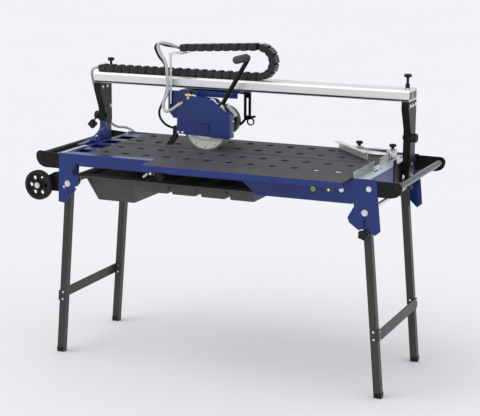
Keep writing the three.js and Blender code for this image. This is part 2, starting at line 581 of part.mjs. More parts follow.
function stopKnob(x) {
  const y = BEAM.y1 - 18;
  const z = BEAM.z1 + GAP;
  return fuse(rodZ(9, z, z + 16, x, y), rodZ(5, z + 14, z + 44, x, y, 16), star(16, 12).translate(x, y, z + 42));
}
add('stop_knob_left', stopKnob(BEAM.x0 + 34), BLACK());
add('stop_knob_right', stopKnob(BEAM.x1 - 34), BLACK());

// knob outside the arm, on the bolt that clamps the arm to its base
function tiltKnob(side) {
  const inner = side < 0 ? ARM.left + ARM.width + GAP : ARM.right - GAP;
  const outer = side < 0 ? ARM.left - GAP : ARM.right + ARM.width + GAP;
  const [x0, x1] = [Math.min(inner, outer), Math.max(inner, outer)];
  const knob = rodX(CLAMP.knobR, 0, CLAMP.knobLength, CLAMP.y, CLAMP.z);
  knob.translate(side < 0 ? x0 - CLAMP.knobLength : x1, 0, 0);
  const head = rodX(10, 0, 5, CLAMP.y, CLAMP.z, 12);
  head.translate(side < 0 ? x1 : x0 - 5, 0, 0);
  return fuse(rodX(CLAMP.shaftR, x0 - 1, x1 + 1, CLAMP.y, CLAMP.z), knob, head);
}
add('tilt_knob_left', tiltKnob(-1), BLACK());
add('tilt_knob_right', tiltKnob(1), BLACK());

// ---------- energy chain ----------
const chainZ = BEAM.z1 + 2;
const chainTop = chainZ + 2 * CHAIN.loopR;
const chainEnd = chainTop - CHAIN.rise;          // the upper run springs up towards the loop
const chainY1 = CHAIN.y0 + CHAIN.width;
add('chain_lower_run', box(CHAIN.x0, CHAIN.loopX - GAP, CHAIN.y0, chainY1, chainZ, chainZ + CHAIN.height), BLACK());
add('chain_upper_run', plateXZ(outline([
  [CHAIN.endX, chainEnd - CHAIN.height], [CHAIN.loopX - GAP, chainTop - CHAIN.height],
  [CHAIN.loopX - GAP, chainTop], [CHAIN.endX, chainEnd],
]), CHAIN.y0, CHAIN.width), BLACK());
function chainLoop() {
  const z = chainZ + CHAIN.loopR;
  const inner = CHAIN.loopR - CHAIN.height;
  const shape = new THREE.Shape();
  shape.moveTo(CHAIN.loopX, chainZ);
  shape.absarc(CHAIN.loopX, z, CHAIN.loopR, -Math.PI / 2, Math.PI / 2, false);
  shape.lineTo(CHAIN.loopX, z + inner);
  shape.absarc(CHAIN.loopX, z, inner, Math.PI / 2, -Math.PI / 2, true);
  return plateXZ(shape, CHAIN.y0, CHAIN.width, 9);
}
add('chain_loop', chainLoop(), BLACK());

// ---------- carriage ----------
function carriageBody() {
  const { x0, x1, y0, y1, z0, z1 } = CARRIAGE;
  const wall = 4;
  const backY = BEAM.y1 + RAIL_LIP.reach + 2;
  const top = RAIL_LIP.z + RAIL_LIP.thick + 2 * ROLLER.r + 6;
  const channel = cut(
    box(x0, x1, y0, y1, z0, z1),
    box(x0 - 1, x1 + 1, y0 + wall, y1 - wall, z0 - 1, z1 - wall),
  );
  const back = box(x0, x1, backY + 8, y1, z0, top);
  const axles = ROLLER.xs.map((x) => rodY(4, BEAM.y1 + 2, backY + 10, x, rollerZ, 14));
  const mount = box(MOUNT.x0, MOUNT.x1, MOUNT.y, MOUNT.y + MOUNT.thick, MOUNT.z0, MOUNT.z1 + 20);
  const tie = box(x0, MOUNT.x1, MOUNT.y, y0 + 1, z0, z1);
  const bore = rodY(HEAD_PIVOT.r + GAP, MOUNT.y - 1, MOUNT.y + MOUNT.thick + 1, HEAD_PIVOT.x, HEAD_PIVOT.z);
  const chamfer = plateXZ(outline([
    [MOUNT.x0 - 1, MOUNT.z0 - 1], [MOUNT.x0 + 26, MOUNT.z0 - 1], [MOUNT.x0 - 1, MOUNT.z0 + 30],
  ]), MOUNT.y - 1, MOUNT.thick + 2);
  return cut(fuse(channel, back, mount, tie, ...axles), bore, chamfer);
}
const rollerZ = RAIL_LIP.z + RAIL_LIP.thick + ROLLER.r + GAP;
add('carriage_body', carriageBody(), BLUE());
ROLLER.xs.forEach((x, i) => {
  const y = BEAM.y1 + 3;
  const name = ['carriage_roller_left', 'carriage_roller_right'][i];
  add(name, cut(rodY(ROLLER.r, y, y + ROLLER.width, x, rollerZ, 24), rodY(4 + GAP, y - 1, y + 20, x, rollerZ, 14)),
    STEEL());
});

// tube that carries the chain's moving end
function chainPost() {
  const z0 = MOUNT.z1 + 4;
  const top = chainEnd - CHAIN.height - 3;
  const y = MOUNT.y - POST.r - GAP;
  const post = rodZ(POST.r, z0 - 40, top, POST.x, y, 14);
  const shelf = box(POST.x - 8, POST.x + 56, y - 6, chainY1, top - 4, top);
  return fuse(post, shelf);
}
add('chain_post', chainPost(), STEEL());

// slotted strap with a hooked end that holds the head up
function depthLink() {
  const shape = new THREE.Shape();
  const half = LINK.width / 2;
  const low = LINK.top - LINK.length;
  shape.moveTo(LINK.x - half, LINK.top + 6);
  shape.lineTo(LINK.x - half, low);
  shape.lineTo(LINK.x - half + 6, low - 12);
  shape.lineTo(LINK.x + half + 8, low - 4);
  shape.lineTo(LINK.x + half + 8, low + 8);
  shape.lineTo(LINK.x + half, low + 4);
  shape.lineTo(LINK.x + half, LINK.top + 6);
  const slot = box(LINK.x - 5, LINK.x + 5, LINK.y - 1, LINK.y + LINK.thick + 1, low + 8, LINK.top - 14);
  return cut(
    fuse(plateXZ(shape, LINK.y, LINK.thick), rodY(8, LINK.y, LINK.y + LINK.thick + 5, LINK.x, LINK.top - 4, 14)),
    slot,
  );
}
add('depth_link', depthLink(), BLACK());

// ---------- saw head ----------
const GUARD_OUTLINE = [
  [-275, TABLE_Z + 64], [-35, TABLE_Z + 57], [-35, TABLE_Z + 154], [-110, TABLE_Z + 215],
  [-210, TABLE_Z + 221], [-270, TABLE_Z + 170],
];
function bladeGuard() {
  const { y0, y1, wall } = GUARD;
  const cx = BLADE.x - 3;
  const cz = BLADE.z + 43;
  const shrunk = GUARD_OUTLINE.map(([x, z]) => {
    const reach = Math.hypot(x - cx, z - cz);
    const scale = (reach - 1.5 * wall) / reach;
    return [cx + (x - cx) * scale, z < TABLE_Z + 70 ? z - 20 : cz + (z - cz) * scale];
  });
  const shell = cut(
    plateXZ(outline(GUARD_OUTLINE), y0, y1 - y0),
    plateXZ(outline(shrunk), y0 + wall, y1 - y0 - 2 * wall),
    rodY(30, y1 - wall - 1, y1 + 1, BLADE.x, BLADE.z, 28),
  );
  const lug = box(HEAD_PIVOT.x - 16, GUARD_OUTLINE[0][0] + 20, y1 - wall, y1, HEAD_PIVOT.z - 22, HEAD_PIVOT.z + 22);
  const pin = rodY(HEAD_PIVOT.r, y1 - wall, MOUNT.y + MOUNT.thick + 4, HEAD_PIVOT.x, HEAD_PIVOT.z);
  return fuse(shell, lug, pin);
}
add('blade_guard', bladeGuard(), BLUE());

function blade() {
  const disc = rodY(BLADE.r, BLADE.y - BLADE.thick / 2, BLADE.y + BLADE.thick / 2, BLADE.x, BLADE.z, 48);
  const tools = [rodY(11 + GAP, BLADE.y - 5, BLADE.y + 5, BLADE.x, BLADE.z, 20)];
  for (let i = 0; i < 12; i++) {
    const a = (i / 12) * 2 * Math.PI;
    tools.push(rodY(3, BLADE.y - 5, BLADE.y + 5, BLADE.x + 84 * Math.cos(a), BLADE.z + 84 * Math.sin(a), 8));
  }
  return cut(disc, ...tools);
}
add('blade', blade(), STEEL());
// shaft with a clamping flange on each side of the blade and a nut at the front
function spindle() {
  const face = BLADE.thick / 2 + GAP;
  return fuse(
    rodY(11, BLADE.y - 17, MOTOR.y0 + 34, BLADE.x, BLADE.z),
    rodY(FLANGE_R, BLADE.y + face, BLADE.y + face + 5, BLADE.x, BLADE.z, 32),
    rodY(FLANGE_R, BLADE.y - face - 5, BLADE.y - face, BLADE.x, BLADE.z, 32),
    rodY(16, BLADE.y - face - 12, BLADE.y - face - 4, BLADE.x, BLADE.z, 6),
  );
}
add('spindle', spindle(), STEEL());

function motorHousing() {
  const barrel = rodY(MOTOR.r, MOTOR.y0, MOTOR.y1, BLADE.x, BLADE.z, 40);
  const nose = rodY(28, GUARD.y1 + GAP, MOTOR.y0 + 1, BLADE.x, BLADE.z, 28);
  const top = box(BLADE.x - 34, BLADE.x + 34, MOTOR.y0 + 20, MOTOR.y1 - 20, BLADE.z + 50, BLADE.z + MOTOR.r + 8);
  const bore = rodY(11 + GAP, GUARD.y1 - 2, MOTOR.y0 + 36, BLADE.x, BLADE.z);
  const grille = rodY(MOTOR.r - 3, MOTOR.y1 - 1, MOTOR.y1 + 14, BLADE.x, BLADE.z, 36);
  const bell = rodY(MOTOR.endR, MOTOR.y1 + 13, MOTOR.endY, BLADE.x, BLADE.z, 32);
  return cut(fuse(barrel, nose, top, grille, bell), bore);
}
add('motor_housing', motorHousing(), STEEL());

// lever clamped on the right shoulder of the guard, grip towards the operator
function handleLever() {
  const path = new THREE.LineCurve3(
    new THREE.Vector3(LEVER.x0, LEVER.y, LEVER.z0), new THREE.Vector3(LEVER.x1, LEVER.y, LEVER.z1));
  const ring = new THREE.Shape();
  ring.absarc(0, 0, LEVER.r, 0, 2 * Math.PI);
  const bar = new THREE.ExtrudeGeometry(ring, { steps: 1, curveSegments: 14, extrudePath: path });
  const elbow = rodY(LEVER.r, LEVER.y - 30, LEVER.y + LEVER.r, LEVER.x1, LEVER.z1, 14);
  return fuse(bar, elbow);
}
add('handle_lever', handleLever(), BLACK());
const gripY = LEVER.y - 30 - GAP;
add('handle_grip', rodY(LEVER.gripR, gripY - LEVER.gripLength, gripY, LEVER.x1, LEVER.z1, 24), RUBBER());

add('splash_flap', plateXZ(outline([
  [-300, TABLE_Z + 92], [-287, TABLE_Z + 94], [-279, TABLE_Z + 62], [-278, TABLE_Z + 46],
  [-304, TABLE_Z + 10], [-336, TABLE_Z + 9], [-318, TABLE_Z + 32], [-303, TABLE_Z + 56],
]), BLADE.y - FLAP / 2, FLAP), BLACK());

// ---------- hoses held by the machine ----------
const hoseY = MOUNT.y - POST.r - 12;
add('water_hose', hose([
  [CHAIN.endX - 12, CHAIN.y0 + 14, chainEnd - 14], [-340, 40, chainEnd + 6], [-372, hoseY, chainEnd + 4],
  [-364, hoseY, 1262], [-338, hoseY - 6, 1222], [-330, hoseY - 6, 1150], [-331, hoseY - 6, 1096],
  [-342, 6, 1056], [-330, -4, 1026], [-302, -10, 1030], [-276, -18, 1052], [-246, -19, 1080],
], 6.5, 8, 40), HOSE_GREY());
add('motor_cable', hose([
  [CHAIN.endX - 12, CHAIN.y0 + 34, chainEnd - 18], [-350, 62, chainEnd - 6], [-388, 34, chainEnd - 2],
  [-380, 30, 1256], [-350, 34, 1214], [-338, 35, 1150], [-344, 34, 1092], [-362, 36, 1050], [-378, 38, 1008],
  [-366, 44, 972], [-326, 62, 944], [-262, 84, 940], [-222, 92, 956],
], 5, 8, 44), BLACK());
add('supply_hose', hose([
  [CHAIN.x0 - 12, CHAIN.y0 + 22, chainZ + 14], [-728, 100, chainZ + 4], [-744, 130, 1110], [-742, 190, 1010],
  [-740, 246, 934], [-722, 296, 890], [-684, 322, 882], [-646, 326, 862], [-620, 320, 826], [-610, 312, 790],
], 6, 8, 30), HOSE_GREY());

// ---------- water tray ----------
function waterTray() {
  const { y, rimZ, rim, wall, x0, x1 } = TRAY;
  const shells = (grow) => [
    hopper(SUMP.x0 + grow, SUMP.x1 - grow, y - 2 - grow, rimZ + grow, SUMP.z + grow, SUMP.draft),
    ...POCKETS.xs.map((x) => hopper(
      x + grow, x + POCKETS.width - grow, y - 2 - grow, rimZ + grow, POCKETS.z + grow, POCKETS.draft)),
  ];
  const flat = box(x0, x1, -y - rim, y + rim, rimZ - wall, rimZ);
  const curb = box(SUMP.x0 + 2, POCKETS.xs[3] + POCKETS.width - 2, -y + 2, y - 2, rimZ - 22, rimZ);
  const space = box(SUMP.x0 + 2 + wall, POCKETS.xs[3] + POCKETS.width - 2 - wall, -y + 2 + wall, y - 2 - wall,
    rimZ - 22 + wall, rimZ + 1);
  return cut(fuse(flat, curb, ...shells(0)), space, ...shells(wall));
}
add('water_tray', waterTray(), PLASTIC());

// ---------- origin at the centre of the footprint ----------
const reach = new THREE.Box3().setFromObject(machine, true);
machine.position.set(-(reach.min.x + reach.max.x) / 2, -(reach.min.y + reach.max.y) / 2, -reach.min.z);

export default machine;
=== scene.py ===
import math

import bmesh
import bpy
from mathutils import Matrix, Vector


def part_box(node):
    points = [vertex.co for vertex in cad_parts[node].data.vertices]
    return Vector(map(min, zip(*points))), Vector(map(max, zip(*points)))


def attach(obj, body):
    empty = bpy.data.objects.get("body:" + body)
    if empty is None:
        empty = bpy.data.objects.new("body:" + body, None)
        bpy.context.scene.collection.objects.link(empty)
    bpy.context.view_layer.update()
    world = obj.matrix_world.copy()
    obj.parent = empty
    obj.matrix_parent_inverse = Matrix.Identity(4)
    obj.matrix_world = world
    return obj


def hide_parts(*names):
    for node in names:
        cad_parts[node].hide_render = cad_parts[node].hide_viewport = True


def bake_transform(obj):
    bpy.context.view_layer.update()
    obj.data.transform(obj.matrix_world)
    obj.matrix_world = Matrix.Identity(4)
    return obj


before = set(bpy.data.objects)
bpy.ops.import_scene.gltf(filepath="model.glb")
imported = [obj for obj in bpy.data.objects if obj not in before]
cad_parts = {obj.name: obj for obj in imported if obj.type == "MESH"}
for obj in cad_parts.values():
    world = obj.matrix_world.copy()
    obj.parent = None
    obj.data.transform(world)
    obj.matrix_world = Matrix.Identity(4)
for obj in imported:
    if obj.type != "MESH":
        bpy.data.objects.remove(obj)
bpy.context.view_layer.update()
scene = bpy.context.scene

# Pieces are drawn in the machine's own millimetres; MACHINE takes them to the row frame.
MM = 0.001
BEAM_LOW = Vector((-700, 60, 1116))
MACHINE = Matrix.Translation(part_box("beam")[0] - BEAM_LOW * MM) @ Matrix.Scale(MM, 4)

# Camera: turned and raised about the machine, aimed a little low, with a long lens.
CAMERA_PLACE = MACHINE @ Vector((2275.8, -5254.1, 1896.3))
CAMERA_TURN = 0.407
CAMERA_RAISE = 0.216
CAMERA_ROLL = 0.006
SENSOR = 36.0
LENS = 106.25

TABLE_Z = 870
TABLE_SHEET = 4
HOLE_ROWS = (-200, -67, 98, 232)
HOLE_X0 = -503
HOLE_PITCH = 92
HOLE_R = 17
SIDE_Y = 303
HANDLE_R = 13
HANDLE_HALF = 295
LEG_HALF = 15
LEG_LEAN = {"left": (-650 + 707.5) / 745, "right": (641 - 707) / 741}    # x over z, from foot to pivot
POCKET_X = (-331, -206, -77, 50)
POCKET_Y = 225
POST_X = -322
POST_Y = 36.5
GUARD_FACE = -10
BLADE_X = -152
BLADE_Y = 14.5
BLADE_Z = 967
BLADE_R = 100
CHAIN_Y = (74, 120)    # its two sides
CHAIN_LOW = 1163
CHAIN_TOP = 1315
CHAIN_RISE = 20
CHAIN_LOOP_X = 57
CHAIN_LOOP_Z = 1239
CHAIN_X0 = -690
CHAIN_END_X = -303
LINK_PITCH = 38
LINK_HEIGHT = 30
LINK_PLATE = 3
LINK_START = 9    # from the end of a run to its first hinge


def box_of(node):
    """Lowest and highest corner of a CAD node, in the machine's millimetres."""
    back = MACHINE.inverted()
    low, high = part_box(node)
    return back @ low, back @ high


# ---------- finishes ----------
def node(tree, kind, **values):
    made = tree.nodes.new(kind)
    for key, value in values.items():
        if key in made.inputs:
            made.inputs[key].default_value = value
        else:
            setattr(made, key, value)
    return made


def finish(name, colour, roughness, metallic=0.0, mottle=(7.0, 0.12), smear=0.08,
           grain=(700.0, 0.12), stretch=(1, 1, 1), cells=False, flecks=None, **sockets):
    """Painted, moulded or metal surface: cloudy colour, uneven gloss and a fine relief.

    mottle is the clouds' scale and strength, grain the relief's scale and strength."""
    material = bpy.data.materials.new(name)
    material.use_nodes = True
    tree = material.node_tree
    link = tree.links.new
    shader = tree.nodes["Principled BSDF"]
    shader.inputs["Metallic"].default_value = metallic
    for socket, value in sockets.items():
        shader.inputs[socket.replace("_", " ")].default_value = value
    place = node(tree, "ShaderNodeTexCoord")
    drawn = node(tree, "ShaderNodeMapping", Scale=stretch)
    link(place.outputs["Object"], drawn.inputs["Vector"])

    clouds = node(tree, "ShaderNodeTexNoise", Scale=mottle[0], Detail=6.0, Roughness=0.6)
    link(drawn.outputs["Vector"], clouds.inputs["Vector"])
    shades = node(tree, "ShaderNodeValToRGB")
    low, high = shades.color_ramp.elements
    low.position, high.position = 0.3, 0.7
    low.color = [c * (1 - mottle[1]) for c in colour] + [1]
    high.color = [min(1, c * (1 + mottle[1])) for c in colour] + [1]
    link(clouds.outputs["Fac"], shades.inputs["Fac"])
    tint = shades.outputs["Color"]
    if flecks:
        spots = node(tree, "ShaderNodeTexVoronoi", Scale=flecks[0])
        link(drawn.outputs["Vector"], spots.inputs["Vector"])
        mix = node(tree, "ShaderNodeMix", data_type="RGBA", blend_type="OVERLAY")
        mix.inputs["Factor"].default_value = flecks[1]
        link(tint, mix.inputs["A"])
        link(spots.outputs["Color"], mix.inputs["B"])
        tint = mix.outputs["Result"]
    link(tint, shader.inputs["Base Color"])

    gloss = node(tree, "ShaderNodeMapRange")
    gloss.inputs["To Min"].default_value = max(0.05, roughness - smear)
    gloss.inputs["To Max"].default_value = roughness + smear
    rub = node(tree, "ShaderNodeTexNoise", Scale=mottle[0] * 5, Detail=4.0)
    link(drawn.outputs["Vector"], rub.inputs["Vector"])
    link(rub.outputs["Fac"], gloss.inputs["Value"])
    link(gloss.outputs["Result"], shader.inputs["Roughness"])

    if cells:
        relief = node(tree, "ShaderNodeTexVoronoi", Scale=grain[0])
        height = relief.outputs["Distance"]
    else:
        relief = node(tree, "ShaderNodeTexNoise", Scale=grain[0], Detail=3.0)
        height = relief.outputs["Fac"]
    link(drawn.outputs["Vector"], relief.inputs["Vector"])
    bump = node(tree, "ShaderNodeBump", Strength=grain[1], Distance=0.0006)
    link(height, bump.inputs["Height"])
    link(bump.outputs["Normal"], shader.inputs["Normal"])
    return material


BLUE = finish("blue_powder_coat", (0.006, 0.026, 0.16), 0.36, grain=(420, 0.10), Specular_IOR_Level=0.3,
              Coat_Weight=0.2)
TABLE = finish("grip_coating", (0.060, 0.059, 0.066), 0.62, mottle=(11, 0.16), grain=(900, 0.35),
               Specular_IOR_Level=0.3)
BLACK = finish("black_paint", (0.006, 0.006, 0.006), 0.38, grain=(500, 0.12), Specular_IOR_Level=0.2)
GLOSS = finish("gloss_black", (0.006, 0.006, 0.006), 0.14, smear=0.03, grain=(500, 0.03),
               Specular_IOR_Level=0.6)
LEG = finish("leg_paint", (0.036, 0.035, 0.031), 0.40, mottle=(9, 0.2), grain=(260, 0.22), cells=True,
             Specular_IOR_Level=0.35)
ZINC = finish("zinc_plate", (0.52, 0.58, 0.58), 0.28, metallic=0.9, mottle=(14, 0.16), flecks=(90, 0.06))
ALUMINIUM = finish("drawn_aluminium", (0.80, 0.80, 0.79), 0.42, metallic=0.8, mottle=(5, 0.05),
                   stretch=(1, 30, 30), grain=(60, 0.05))
STEEL = finish("bright_steel", (0.74, 0.74, 0.73), 0.26, metallic=1.0, mottle=(30, 0.1))
PLASTIC = finish("tray_plastic", (0.070, 0.068, 0.058), 0.50, mottle=(6, 0.12), grain=(1100, 0.25),
                 Specular_IOR_Level=0.35)
MOULDED = finish("black_moulding", (0.008, 0.008, 0.008), 0.42, grain=(1200, 0.25), Specular_IOR_Level=0.25)
CHAIN = finish("chain_moulding", (0.016, 0.016, 0.017), 0.38, mottle=(25, 0.25), grain=(900, 0.2),
               Specular_IOR_Level=0.4)
RUBBER = finish("rubber", (0.014, 0.014, 0.014), 0.60, mottle=(18, 0.25), grain=(800, 0.3),
                Specular_IOR_Level=0.25)
GRIP = finish("grip_foam", (0.050, 0.050, 0.052), 0.66, mottle=(22, 0.2), grain=(900, 0.4))
HOSE = finish("grey_hose", (0.50, 0.51, 0.50), 0.28, mottle=(12, 0.1), grain=(500, 0.05), Coat_Weight=0.4)
BRASS = finish("brass", (0.72, 0.50, 0.16), 0.30, metallic=1.0, mottle=(40, 0.1))
CAST = finish("cast_aluminium", (0.50, 0.51, 0.50), 0.42, metallic=0.8, mottle=(20, 0.12), grain=(600, 0.3))
GRILLE = finish("grey_green_enamel", (0.16, 0.19, 0.17), 0.45, mottle=(15, 0.15))
DISC = finish("blade_steel", (0.86, 0.86, 0.79), 0.50, metallic=0.25, mottle=(60, 0.08), grain=(900, 0.1))
RIM = finish("diamond_rim", (0.26, 0.26, 0.25), 0.55, metallic=0.6, mottle=(90, 0.3), grain=(1500, 0.6))
CLEAR = finish("clear_tube", (0.76, 0.77, 0.73), 0.2, mottle=(10, 0.08), Coat_Weight=0.5)
BUMPER = finish("green_bumper", (0.30, 0.38, 0.06), 0.5)


# ---------- shaping ----------
def ease(bm, verts, edge, mat, segments=2, turn=30):
    """Gives a new solid its finish and rounds its sharp edges."""
    for face in {f for v in verts for f in v.link_faces}:
        face.material_index = mat
    if not edge:
        return
    rims = {e for v in verts for e in v.link_edges}
    sharp = [e for e in rims if e.is_manifold and e.calc_face_angle() > math.radians(turn)]
    bmesh.ops.bevel(bm, geom=sharp, offset=edge, offset_type="OFFSET", segments=segments,
                    profile=0.5, affect="EDGES", clamp_overlap=True, material=-1)


def box(bm, low, high, edge=1.0, mat=0, turned=None):
    """Block between two corners; turned is a matrix that turns it about its own centre."""
    verts = bmesh.ops.create_cube(bm, size=1)["verts"]
    low, high = Vector(low), Vector(high)
    bmesh.ops.scale(bm, vec=high - low, verts=verts)
    if turned:
        bmesh.ops.transform(bm, matrix=turned, verts=verts)
    bmesh.ops.translate(bm, vec=(low + high) / 2, verts=verts)
    ease(bm, verts, edge, mat)


def rod(bm, start, end, r, mat=0, edge=0.8, sides=24, r2=None):
    """Round or many-sided bar between two points, r2 at its far end."""
    start, end = Vector(start), Vector(end)
    way = end - start
    turn = way.to_track_quat("Z", "Y").to_matrix().to_4x4()
    place = Matrix.Translation((start + end) / 2) @ turn
    verts = bmesh.ops.create_cone(bm, cap_ends=True, segments=sides, radius1=r,
                                  radius2=r if r2 is None else r2, depth=way.length, matrix=place)["verts"]
    ease(bm, verts, min(edge, way.length / 3), mat, turn=46 if sides > 6 else 30)


def on_axis(axis, a, b, level):
    """A point of an outline, level along the axis it is extruded on."""
    return {"x": (level, a, b), "y": (a, level, b), "z": (a, b, level)}[axis]


def plate(bm, axis, points, low, high, mat=0, edge=0.8, holes=(), turn=30):
    """Outline with round or many-sided holes, extruded along an axis."""
    loops = [points, *holes]
    edges = []
    for loop in loops:
        verts = [bm.verts.new(on_axis(axis, a, b, low)) for a, b in loop]
        edges += [bm.edges.new((verts[i - 1], verts[i])) for i in range(len(verts))]
    lift = Vector(on_axis(axis, 0, 0, 1))
    made = bmesh.ops.triangle_fill(bm, use_beauty=True, use_dissolve=False, edges=edges, normal=lift)
    faces = [g for g in made["geom"] if isinstance(g, bmesh.types.BMFace)]
    grown = bmesh.ops.extrude_face_region(bm, geom=faces, use_keep_orig=True)["geom"]
    top = [g for g in grown if isinstance(g, bmesh.types.BMVert)]
    bmesh.ops.translate(bm, vec=lift * (high - low), verts=top)
    verts = {v for e in edges for v in e.verts} | set(top)
    bmesh.ops.recalc_face_normals(bm, faces=list({f for v in verts for f in v.link_faces}))
    ease(bm, verts, edge, mat, turn=turn)


def ring(a, b, r, sides=20, start=0.0):
    """Circle as an outline."""
    step = 2 * math.pi / sides
    return [(a + r * math.cos(start + i * step), b + r * math.sin(start + i * step)) for i in range(sides)]


def slot_loop(a, b, half, reach, along=0.0):
    """Slot as an outline: half its width, reach from its middle to each end, along an angle."""
    points = []
    for end, turn in ((1, -0.5), (-1, 0.5)):
        for i in range(7):
            angle = (turn + i / 6) * math.pi
            points.append((end * reach + half * math.cos(angle), half * math.sin(angle)))
    c, s = math.cos(along), math.sin(along)
    return [(a + u * c - v * s, b + u * s + v * c) for u, v in points]


def lathe(bm, profile, centre, axis="y", mat=0, steps=48, edge=0.0):
    """Profile of (radius, level) turned about an axis through a centre; a closed loop of points."""
    spin_axis = Vector(on_axis(axis, 0, 0, 1))
    centre = Vector(centre)
    radial = Vector((1, 0, 0)) if axis != "x" else Vector((0, 1, 0))
    verts = [bm.verts.new(centre + radial * r + spin_axis * level) for r, level in profile]
    edges = [bm.edges.new((verts[i - 1], verts[i])) for i in range(1, len(verts))]
    if profile[0][0] > 0.01 and profile[-1][0] > 0.01:
        edges.append(bm.edges.new((verts[-1], verts[0])))
    made = bmesh.ops.spin(bm, geom=verts + edges, cent=centre, axis=spin_axis, angle=2 * math.pi,
                          steps=steps, use_merge=True, use_duplicate=False)
    faces = {f for v in verts for f in v.link_faces}
    grow = set(faces)
    while grow:
        grow = {f for face in grow for e in face.edges for f in e.link_faces} - faces
        faces |= grow
    points = {v for f in faces for v in f.verts}
    bmesh.ops.remove_doubles(bm, verts=list(points), dist=0.001)
    faces = [f for f in faces if f.is_valid]
    bmesh.ops.recalc_face_normals(bm, faces=faces)
    ease(bm, {v for f in faces for v in f.verts}, edge, mat, turn=40)


def bolt(bm, at, way, r=9, mat=1, height=6):
    """Hexagon head on a washer, standing on a surface; way is the outward direction."""
    at, way = Vector(at), Vector(way).normalized()
    rod(bm, at, at + way * 1.6, r * 1.35, mat, edge=0.4, sides=24)
    rod(bm, at + way * 1.6, at + way * (1.6 + height), r, mat, edge=0.9, sides=6)


def dome_bolt(bm, at, way, r=9, mat=1):
    """Low round head on a surface."""
    at, way = Vector(at), Vector(way).normalized()
    rod(bm, at, at + way * 1.5, r * 1.25, mat, edge=0.4, sides=24)
    rod(bm, at + way * 1.5, at + way * 5.5, r, mat, edge=0, sides=24, r2=r * 0.6)


def star_loop(r, lobes):
    """Lobed outline round the origin."""
    steps = lobes * 8
    points = []
    for i in range(steps):
        angle = 2 * math.pi * i / steps
        reach = r * (0.9 + 0.1 * math.cos(lobes * angle))
        points.append((reach * math.cos(angle), reach * math.sin(angle)))
    return points


def star_knob(bm, at, axis, r, height, mat=0, lobes=6, sign=1):
    """Star grip whose lobes stand round an axis, from at outwards, with a collar under it."""
    a, b, level = {"x": (at[1], at[2], at[0]), "y": (at[0], at[2], at[1]), "z": at}[axis]
    outline = [(a + u, b + v) for u, v in star_loop(r, lobes)]
    ends = sorted((level + sign * 3, level + sign * height))
    plate(bm, axis, outline, ends[0], ends[1], mat, edge=2.0, turn=40)
    way = Vector(on_axis(axis, 0, 0, sign))
    foot = Vector(at)
    rod(bm, foot, foot + way * 5, r * 0.55, mat)
    rod(bm, foot + way * (height - 0.5), foot + way * (height + 1.5), r * 0.42, mat, edge=0.7)


def tube(bm, points, r, mat=0):
    """Adds a round hose with closed ends, on a smooth curve through points."""
    curve = bpy.data.curves.new("hose_run", "CURVE")
    curve.dimensions = "3D"
    curve.bevel_depth = r
    curve.bevel_resolution = 4
    curve.resolution_u = 10
    curve.use_fill_caps = True
    spline = curve.splines.new("BEZIER")
    spline.bezier_points.add(len(points) - 1)
    for knot, point in zip(spline.bezier_points, points):
        knot.co = point
        knot.handle_left_type = knot.handle_right_type = "AUTO"
    holder = bpy.data.objects.new("hose_run", curve)
    mesh = bpy.data.meshes.new_from_object(holder)
    bpy.data.objects.remove(holder)
    bpy.data.curves.remove(curve)
    start = len(bm.faces)
    bm.from_mesh(mesh)
    bm.faces.ensure_lookup_table()
    for face in bm.faces[start:]:
        face.material_index = mat
    bpy.data.meshes.remove(mesh)


def eased_node(node_name, edge, turn=30, mat=0):
    """The CAD node's own solid in millimetres with its edges rounded, to add detail to."""
    bm = bmesh.new()
    bm.from_mesh(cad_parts[node_name].data)
    bmesh.ops.remove_doubles(bm, verts=bm.verts, dist=1e-5)
    bmesh.ops.dissolve_limit(bm, angle_limit=math.radians(1), verts=bm.verts, edges=bm.edges,
                             use_dissolve_boundaries=False)
    bm.transform(MACHINE.inverted())
    ease(bm, list(bm.verts), edge, mat, turn=turn)
    return bm


def piece(name, bm, finishes, body, stands_for=(), flat=True):
    """Finished piece in the row frame, riding on its body and standing for its CAD nodes."""
    bm.transform(MACHINE)
    mesh = bpy.data.meshes.new(name)
    bm.to_mesh(mesh)
    bm.free()
    for material in finishes:
        mesh.materials.append(material)
    mesh.shade_smooth()
    mesh.set_sharp_from_angle(angle=math.radians(50))
    made = bpy.data.objects.new(name, mesh)
    scene.collection.objects.link(made)
    if flat:
        weighted = made.modifiers.new("flat_faces", "WEIGHTED_NORMAL")
        weighted.keep_sharp = True
    if body:
        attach(made, body)
    if stands_for:
        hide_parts(*stands_for)
    return made


# ---------- camera, floor and light ----------
def set_camera():
    """Long lens placed, turned, raised and rolled by the camera's constants."""
    side = Vector((math.cos(CAMERA_TURN), math.sin(CAMERA_TURN), 0))
    back = Vector((math.sin(CAMERA_TURN) * math.cos(CAMERA_RAISE),
                   -math.cos(CAMERA_TURN) * math.cos(CAMERA_RAISE), math.sin(CAMERA_RAISE)))
    up = back.cross(side)
    right = math.cos(CAMERA_ROLL) * side + math.sin(CAMERA_ROLL) * up
    top = math.cos(CAMERA_ROLL) * up - math.sin(CAMERA_ROLL) * side
    lens = bpy.data.cameras.new("studio_camera")
    lens.sensor_width = SENSOR
    lens.lens = LENS
    lens.clip_end = 200
    camera = bpy.data.objects.new("studio_camera", lens)
    scene.collection.objects.link(camera)
    turned = Matrix((right, top, back)).transposed().to_4x4()
    camera.matrix_world = Matrix.Translation(CAMERA_PLACE) @ turned
    scene.camera = camera


def sun_light(name, towards, strength, spread):
    """Sun that stands in a direction; a wide spread in degrees gives soft shadows."""
    light = bpy.data.lights.new(name, "SUN")
    light.energy = strength
    light.angle = math.radians(spread)
    lamp = bpy.data.objects.new(name, light)
    scene.collection.objects.link(lamp)
    lamp.matrix_world = Vector(towards).to_track_quat("Z", "Y").to_matrix().to_4x4()


